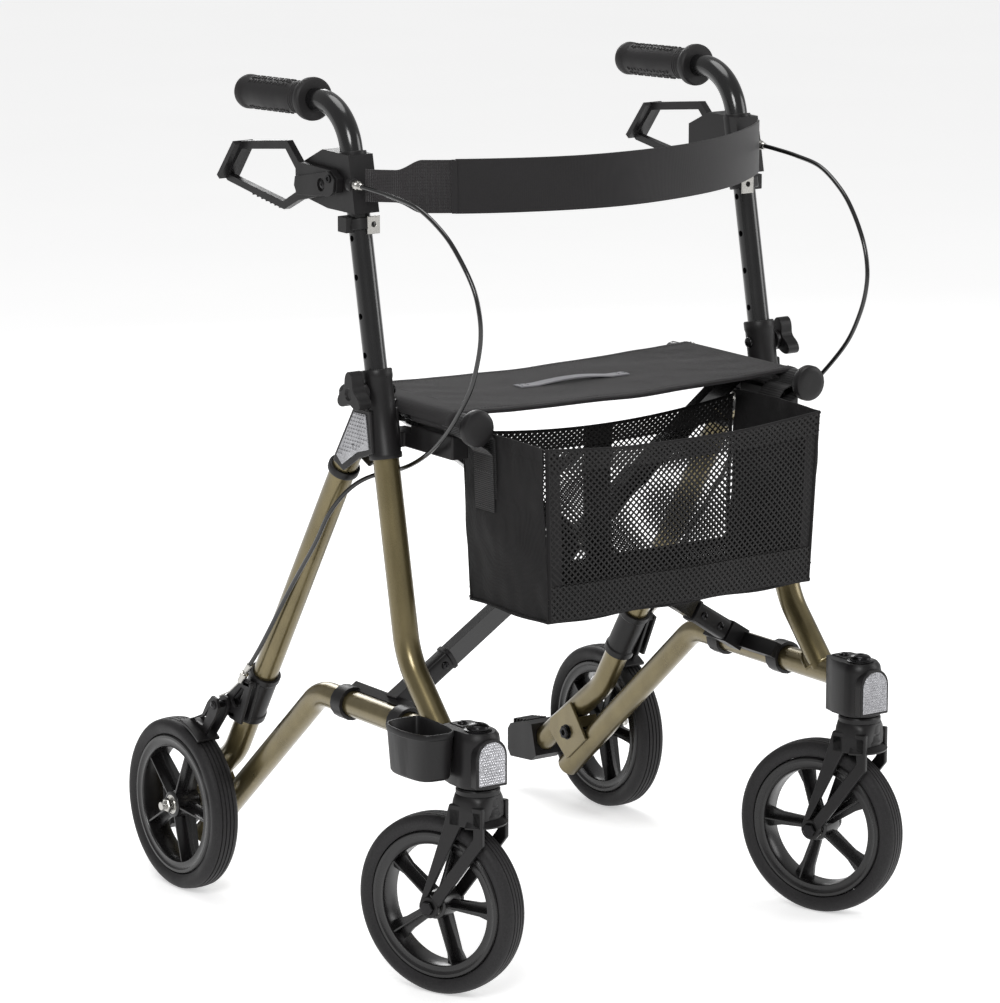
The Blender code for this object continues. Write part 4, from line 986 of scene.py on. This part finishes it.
def build_strut_collar(name, body, foot_sign, strut_y):
    """Moulded boot over the strut's lower end, with a flange where the tube leaves it."""
    direction = Vector((-SIDE_X, 0.0, CROSS_Z - LOWER_TUBE_Z)).normalized()
    foot = Vector((SIDE_X, strut_y, LOWER_TUBE_Z))
    across = Vector((0.0, 1.0, 0.0))
    up = direction.cross(across)
    rings = []
    sections = ((0.0465, 0.0006), (0.0475, 0.0018), (0.096, 0.0014), (0.097, 0.003), (0.101, 0.003),
                (0.102, 0.0016))
    for distance, grow in sections:
        ring = []
        for i in range(40):
            c, s = math.cos(2 * math.pi * i / 40), math.sin(2 * math.pi * i / 40)
            wide = (0.008 + grow) * math.copysign(abs(c) ** 0.5, c)
            high = (0.0105 + grow) * math.copysign(abs(s) ** 0.5, s)
            ring.append(foot + direction * distance + across * wide + up * high)
        rings.append(ring)
    piece(name + "_boot", loft(rings), PLASTIC, body, sign=foot_sign)
    for i, distance in enumerate((0.06, 0.088)):
        bolt = dome_bolt(foot + direction * distance - across * 0.0094, (0, -1, 0), 0.0046, 0.0022)
        piece("%s_boot_bolt_%d" % (name, i), bolt, DARK_STEEL, body, sign=foot_sign)


SEAT_FRONT = -0.22
SEAT_BACK = -0.022
WEBBING_Y = -0.12


def seat_height(x, y):
    """Seat cloth pulled over the bars: it sags between them and puckers a little near them."""
    u = min(abs(x) / SEAT_BAR_X, 1.0)
    height = 0.6168 + 0.006 * u ** 1.6
    folds = 0.0007 * math.sin(150 * y + 3 * math.sin(40 * x)) * u ** 3 * (1 - u ** 8)
    slow = 0.0012 * (noise.noise(Vector((x * 14, y * 20, 3.0)))) * (1 - u ** 6)
    return height + folds + slow


def seat_row(y, lift=0.0):
    row = []
    steps = 64
    for i in range(steps + 1):
        x = SEAT_BAR_X * (2 * i / steps - 1)
        row.append(Vector((x, y, seat_height(x, y) + lift)))
    over = []
    for i in range(1, 9):
        angle = math.radians(90 - 12 * i)
        radius = 0.0118 + lift
        over.append((SEAT_BAR_X + radius * math.cos(angle), SEAT_BAR_Z + radius * math.sin(angle)))
    left = [Vector((-x, y, z)) for x, z in reversed(over)]
    return left + row + [Vector((x, y, z)) for x, z in over]


def across_seat(obj):
    """Bake a piece's transform into its mesh; it rides on no body."""
    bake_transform(obj)
    return obj


def seat_piece(name, grid, thickness, material):
    return across_seat(piece(name, sheet_mesh(grid, thickness), material, None))


def build_seat():
    rows = 44
    ys = [SEAT_FRONT + (SEAT_BACK - SEAT_FRONT) * i / rows for i in range(rows + 1)]
    top = seat_piece("seat_sheet", [seat_row(y) for y in ys], -0.0012, SEAT_CLOTH)
    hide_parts("seat_sling")
    for name, y, direction in (("front", SEAT_FRONT, 1), ("back", SEAT_BACK, -1)):
        hem = [seat_row(y + direction * d, lift) for d,
               lift in ((0.0105, 0.0004), (0.01, 0.0012), (0.005, 0.0015), (0.0006, 0.0013),
                        (-0.0014, 0.0002), (-0.0018, -0.0012), (-0.0006, -0.0024), (0.005, -0.0026),
                        (0.01, -0.0024))]
        seat_piece("seat_hem_" + name, hem, 0.0006, SEAT_CLOTH)
        line = [point + Vector((0, 0, 0.0007)) for point in seat_row(y + direction * 0.0088, 0.0014)]
        across_seat(dashes("seat_stitches_" + name, line))
    for side, sign in SIDES:
        bar_body = "scissor_a" if sign > 0 else "scissor_b"
        line = [Vector((sign * 0.201, y, seat_height(0.201, y) + 0.001)) for y in ys]
        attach(dashes("sleeve_stitches_" + side, line), bar_body)
        for end, low, high in (("front", -0.216, -0.14), ("back", -0.09, -0.024)):
            grid = []
            for i in range(15):
                y = low + (high - low) * i / 14
                row = []
                for k in range(20):
                    angle = math.radians(10 - 12 * k)
                    row.append(Vector((SEAT_BAR_X + 0.0112 * math.cos(angle), y, SEAT_BAR_Z
                                       + 0.0112 * math.sin(angle))))
                row += [Vector((0.214, y, 0.608)), Vector((0.209, y, 0.615)), Vector((0.203, y, 0.6186))]
                grid.append(row)
            sleeve = piece("seat_sleeve_%s_%s" % (end, side), sheet_mesh(grid, 0.001), SEAT_CLOTH, bar_body,
                           sign=sign)
    handle = []
    for i in range(41):
        t = i / 40
        x = -0.08 + 0.148 * t
        lift = 0.0016 + 0.0036 * math.sin(math.pi * min(max((t - 0.16) / 0.68, 0.0), 1.0))
        handle.append([Vector((x, WEBBING_Y + 0.0072 * k, seat_height(x, WEBBING_Y) + lift))
                       for k in (-1.0, -0.5, 0, 0.5, 1.0)])
    tape = seat_piece("seat_webbing", handle, 0.0014, GREY_TAPE)
    for i, x in enumerate((-0.076, -0.068, 0.056, 0.064)):
        box = [Vector((x, WEBBING_Y + 0.0007 * k, seat_height(x, WEBBING_Y) + 0.0038))
               for k in range(-9, 10)]
        across_seat(dashes("webbing_stitches_%d" % i, box))


def dashes(name, line, length=0.0028, gap=0.0016):
    """A run of separate sewn stitches along a line."""
    distances = [0.0]
    for a, b in zip(line, line[1:]):
        distances.append(distances[-1] + (b - a).length)

    def at(distance):
        for i in range(1, len(line)):
            if distances[i] >= distance:
                span = distances[i] - distances[i - 1]
                return line[i - 1].lerp(line[i], (distance - distances[i - 1]) / span)
        return line[-1]

    bm = bmesh.new()
    position = gap
    while position + length < distances[-1]:
        start, end = at(position), at(position + length)
        axis = end - start
        turned([(0.00012, 0.0), (0.00034, axis.length * 0.2), (0.00034, axis.length * 0.8),
                (0.00012, axis.length)], start, axis, 6, bm=bm)
        position += length + gap
    return piece(name, bm, THREAD, None)


# ---- basket -----------------------------------------------------------------------------
PANEL_WIDTH = 0.366
FRONT_HEIGHT = 0.188
BACK_HEIGHT = 0.183
NET_PITCH = 0.0076
THREAD_HALF_WIDTH = 0.00088
DOUBLED_HALF_WIDTH = 0.0012
THREAD_THICKNESS = 0.0009


def basket_half(z):
    return 0.179 + 0.008 * (z - 0.404) / 0.193


def front_point(u, v, lift=0.0):
    """The basket's front panel: u across from -1 to 1, v up from 0 to 1."""
    z = 0.406 + 0.188 * v - 0.01 * (1 - u * u) * v ** 4
    bulge = 0.0075 * (1 - u * u) * math.sin(math.pi * min(v * 1.1, 1.0))
    bulge += 0.0015 * math.sin(7 * u + 5 * v) * (1 - u ** 4)
    return Vector((basket_half(z) * u * 0.992, -0.315 - 0.005 * v - bulge - lift, z))


def back_point(u, v, lift=0.0):
    z = 0.406 + 0.183 * v - 0.014 * (1 - u * u) * v ** 3
    bulge = 0.006 * (1 - u * u) * math.sin(math.pi * v)
    return Vector((basket_half(z) * u * 0.992, -0.17 + 0.004 * v + bulge + lift, z))


def side_panel_point(u, v, lift=0.0):
    """The right side panel: u from front (0) to back (1)."""
    z = 0.405 + (0.189 + 0.002 * math.sin(math.pi * u)) * v
    bulge = 0.007 * math.sin(math.pi * u) * math.sin(math.pi * min(v * 1.02, 1)) - 0.0035 * (1 - v) ** 3
    bulge += 0.0034 * noise.noise(Vector((u * 3.0, v * 3.4, 1.0)))
    bulge += 0.0012 * noise.noise(Vector((u * 9, v * 7, 4.0)))
    return Vector((basket_half(z) + bulge + lift, -0.317 + 0.148 * u, z))


def panel(point, columns, rows, low=(0.0, 0.0), high=(1.0, 1.0), lift=0.0):
    grid = []
    for j in range(rows + 1):
        v = low[1] + (high[1] - low[1]) * j / rows
        grid.append([point(low[0] + (high[0] - low[0]) * i / columns, v, lift) for i in range(columns + 1)])
    return grid


def net_strips(point, height, half_width, low_v=0.0, high_v=1.0, shift=0.0, lift=0.0):
    """Diamond net: two crossing families of flat threads that follow a panel."""
    bm = bmesh.new()
    low_u, high_u = -1.0, 1.0
    step_u = 2.0 * NET_PITCH / PANEL_WIDTH
    rise = height / PANEL_WIDTH * 2.0 * (high_v - low_v)
    shift *= step_u
    count = int((high_u - low_u + rise) / step_u) + 1
    for family in (1.0, -1.0):
        for i in range(count + 1):
            start = low_u - rise + step_u * i + shift if family > 0 else low_u + step_u * i + shift
            spots = []
            segments = max(int(26 * (high_v - low_v)), 6)
            for k in range(segments + 1):
                t = k / segments
                u = start + family * rise * t
                if low_u - 0.001 <= u <= high_u + 0.001:
                    spots.append((u, low_v + (high_v - low_v) * t))
            if len(spots) < 2:
                continue
            rings = []
            for u, v in spots:
                du = half_width * 2.0 / PANEL_WIDTH * 1.414
                a = point(max(min(u - du, 1.0), -1.0), v, lift)
                b = point(max(min(u + du, 1.0), -1.0), v, lift)
                out = Vector((0.0, THREAD_THICKNESS * (1.0 if family > 0 else 1.25), 0.0))
                rings.append([a, b, b - out, a - out])
            loft(rings, bm=bm)
    return bm


def fold_basket(obj):
    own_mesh(obj)
    return obj


def basket_piece(name, bm, material, sign=1.0):
    return fold_basket(piece(name, bm, material, "basket", sign=sign))


def build_basket():
    front = basket_piece("basket_front_net", net_strips(front_point, FRONT_HEIGHT, THREAD_HALF_WIDTH), NET)
    back = basket_piece("basket_back_net", net_strips(back_point, BACK_HEIGHT, THREAD_HALF_WIDTH), NET)
    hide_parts("basket")
    extras = [back]
    for name, point, low, high, lift in (("front_hem", front_point, 0.87, 1.0, 0.0012),
                                         ("front_foot", front_point, 0.0, 0.2, 0.0012),
                                         ("back_hem", back_point, 0.86, 1.0, -0.0012),
                                         ("back_foot", back_point, 0.0, 0.12, 0.0012)):
        doubled = net_strips(point, FRONT_HEIGHT, DOUBLED_HALF_WIDTH, low, high, 0.5, lift)
        extras.append(basket_piece("basket_" + name, doubled, NET))
        edge_v = 0.0 if "foot" in name else 1.0
        line = [point(u / 24 - 1, edge_v, 0.0004) for u in range(49)]
        extras.append(basket_piece("basket_edge_" + name, sweep(line, 0.0019, 10, Vector((0, 1, 0))),
                                   SIDE_CLOTH))
    for side, sign in SIDES:
        solid = basket_piece("basket_side_" + side, sheet_mesh(panel(side_panel_point, 26, 26), 0.0014),
                             SIDE_CLOTH, sign)
        extras.append(solid)
        hem = basket_piece("basket_side_hem_" + side,
                           sheet_mesh(panel(side_panel_point, 26, 3, (0.0, 0.93), (1.0, 1.006), 0.0007),
                                      0.0022), SIDE_CLOTH, sign)
        extras.append(hem)
        for edge, point in (("front", front_point), ("back", back_point)):
            seam = sweep([point(0.985, k / 24, 0.0006) for k in range(25)], 0.0021, 12)
            extras.append(basket_piece("basket_seam_%s_%s" % (edge, side), seam, SIDE_CLOTH, sign))
        corner = sheet_mesh(panel(front_point, 4, 24, (0.9, 0.0), (1.0, 1.0), 0.0009), 0.001)
        extras.append(basket_piece("basket_corner_" + side, corner, SIDE_CLOTH, sign))
        build_hanger(side, sign, extras)
    floor_grid = []
    for j in range(17):
        y = -0.316 + 0.147 * j / 16
        floor_grid.append([Vector((0.178 * (i / 14 - 1), y, 0.404
                                   + 0.0012 * math.cos(i * 0.7) * math.cos(j * 0.5))) for i in range(29)])
    extras.append(basket_piece("basket_floor", sheet_mesh(floor_grid, 0.0016), SIDE_CLOTH))
    webbing = sheet_mesh(panel(back_point, 6, 24, (-0.1, 0.0), (0.1, 1.0), 0.0016), 0.002)
    extras.append(basket_piece("basket_back_webbing", webbing, WEBBING))


def build_hanger(side, sign, extras):
    """Webbing loop that goes over the seat bar and is sewn on the side panel."""
    bar_radius = 0.0112
    path = []
    for i in range(8):
        z = 0.512 + 0.0115 * i
        path.append((basket_half(z) + 0.0052, z))
    path += [(0.202, 0.604)]
    for k in range(12):
        angle = math.radians(200 - 18 * k)
        path.append((SEAT_BAR_X + bar_radius * math.cos(angle), SEAT_BAR_Z + bar_radius * math.sin(angle)))
    path += [(0.229, 0.599), (0.215, 0.592), (0.201, 0.584)]
    for i in range(7):
        z = 0.576 - 0.0105 * i
        path.append((basket_half(z) + 0.0072, z))
    grid = [[Vector((x, -0.237 + 0.009 * k, z)) for k in range(5)] for x, z in path]
    extras.append(basket_piece("basket_loop_" + side, sheet_mesh(grid, 0.0014), WEBBING, sign))
    for row, z in enumerate((0.518, 0.556)):
        line = [Vector((basket_half(z) + 0.009, -0.235 + 0.002 * k, z)) for k in range(17)]
        obj = dashes("loop_stitches_%s_%d" % (side, row), [Vector((sign * p.x, p.y, p.z)) for p in line])
        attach(obj, "basket")
        fold_basket(obj)


# ---- backrest strap ------------------------------------------------------------------------
STRAP_HALF = 0.2655
STRAP_ENDS_Y = -0.1015
STRAP_BOW = 0.119
STRAP_Z = 0.857
STRAP_TAB_END = -0.72


def strap_point(u, height, lift=0.0):
    bow = STRAP_BOW * (1 - u * u) ** 0.9
    slope = 0.0 if abs(u) > 0.985 else 0.9 * STRAP_BOW * 2 * u * (1 - u * u) ** -0.1 / STRAP_HALF
    slope = max(min(slope, 1.2), -1.2)
    normal = Vector((-slope, 1.0, 0.0)).normalized()
    ripple = 0.0009 * math.sin(9 * u + height * 30)
    return Vector((STRAP_HALF * u, STRAP_ENDS_Y - bow + ripple * (1 - u ** 4), STRAP_Z
                   + height)) - normal * lift


def strap_half_height(u):
    """The band is full width except for its narrow tab on the left."""
    t = min(max((u + 0.915) / 0.085, 0.0), 1.0)
    return 0.0178 + 0.0112 * t * t * (3 - 2 * t)


def fold_strap(obj):
    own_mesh(obj)
    return obj


def strap_piece(name, low_u, high_u, shrink, lift, thickness, material, columns=80):
    grid = []
    for i in range(columns + 1):
        u = low_u + (high_u - low_u) * i / columns
        half = strap_half_height(u) - shrink
        grid.append([strap_point(u, half * (2 * k / 10 - 1), lift) for k in range(11)])
    return fold_strap(piece(name, sheet_mesh(grid, thickness), material, "handle_left"))


def build_strap():
    band = strap_piece("backrest_strap", STRAP_TAB_END, 1.0, 0.0, 0.0, 0.002, STRAP_CLOTH, 110)
    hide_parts("backrest_strap")
    tab = strap_piece("strap_tab", -1.0, STRAP_TAB_END, 0.0004, 0.0004, 0.002, HOOK_CLOTH, 60)
    seam = strap_piece("strap_seam", -0.734, -0.714, 0.0, 0.0008, 0.003, STRAP_CLOTH, 6)
    for name, direction in (("upper", 1.0), ("lower", -1.0)):
        line = [strap_point(u, direction * (strap_half_height(u) - 0.0008), 0.0006)
                for u in [STRAP_TAB_END + 1.72 * k / 120 for k in range(121)]]
        cord = sweep(line, 0.0014, 10, Vector((0, 0, 1)))
        fold_strap(piece("strap_edge_" + name, cord, STRAP_CLOTH, "handle_left"))


# ---- stage ------------------------------------------------------------------------------------
def build_stage():
    floor_mesh = bpy.data.meshes.new("floor")
    floor_mesh.from_pydata([(-60, -60, 0), (60, -60, 0), (60, 60, 0), (-60, 60, 0)], [], [(0, 1, 2, 3)])
    material, tree, shader = new_material("pale_floor")
    shader.inputs["Roughness"].default_value = 0.85
    shader.inputs["Specular IOR Level"].default_value = 0.1
    shader.inputs["Emission Color"].default_value = (1.0, 1.0, 1.0, 1.0)
    shader.inputs["Emission Strength"].default_value = 0.5
    varied_colour(tree, shader, noise_value(tree, mapped(tree), 2.0), (0.88, 0.88, 0.88),
                  (0.93, 0.93, 0.93))
    floor_mesh.materials.append(material)
    floor = bpy.data.objects.new("floor", floor_mesh)
    bpy.context.scene.collection.objects.link(floor)
    world = bpy.data.worlds.new("studio")
    world.use_nodes = True
    background = world.node_tree.nodes["Background"]
    background.inputs["Color"].default_value = (1.0, 1.0, 1.0, 1.0)
    background.inputs["Strength"].default_value = 0.42
    bpy.context.scene.world = world
    bpy.context.scene.view_settings.view_transform = "Standard"
    lights = [("key_light", (-2.2, -2.6, 2.8), 1.4, 62.0), ("fill_light", (2.8, -1.8, 1.6), 1.8, 26.0),
              ("top_light", (0.2, 0.4, 3.4), 2.0, 36.0), ("rim_light", (1.0, 2.8, 1.8), 1.4, 24.0)]
    for name, place, size, power in lights:
        light = bpy.data.lights.new(name, "AREA")
        light.shape = "DISK"
        light.size = size
        light.energy = power
        obj = bpy.data.objects.new(name, light)
        obj.location = place
        obj.rotation_euler = (Vector((0, 0, 0.5)) - Vector(place)).to_track_quat("-Z", "Y").to_euler()
        bpy.context.scene.collection.objects.link(obj)
    camera = bpy.data.cameras.new("camera")
    camera.sensor_width = 36.0
    camera.lens = 172.33
    camera_object = bpy.data.objects.new("camera", camera)
    camera_object.location = (-3.06575, -4.35734, 1.61905)
    azimuth, elevation = math.radians(34.96), math.radians(12.28)
    look = Vector((math.sin(azimuth) * math.cos(elevation), math.cos(azimuth) * math.cos(elevation),
                   -math.sin(elevation)))
    camera_object.rotation_euler = look.to_track_quat("-Z", "Y").to_euler()
    bpy.context.scene.collection.objects.link(camera_object)
    bpy.context.scene.camera = camera_object


def main():
    build_stage()
    for side, sign in SIDES:
        build_frame_tubes(side, sign)
        build_axle_bracket(side, sign)
        build_kerb_pedal(side, sign)
        build_socket(side, sign)
        build_wing_knob(side, sign)
        build_cradle(side, sign)
        build_caster(side, sign)
        build_head(side, sign)
        hub = Matrix.Translation((sign * REAR_WHEEL.x, REAR_WHEEL.y, REAR_WHEEL.z))
        build_wheel("rear", side, hub, "rear_wheel_" + side, math.radians(-13))
        build_handle(side, sign)
        build_lever(side, sign)
        build_cable(side, sign)
        build_brake(side, sign)
    build_cup()
    build_scissor()
    build_seat()
    build_basket()
    build_strap()


main()
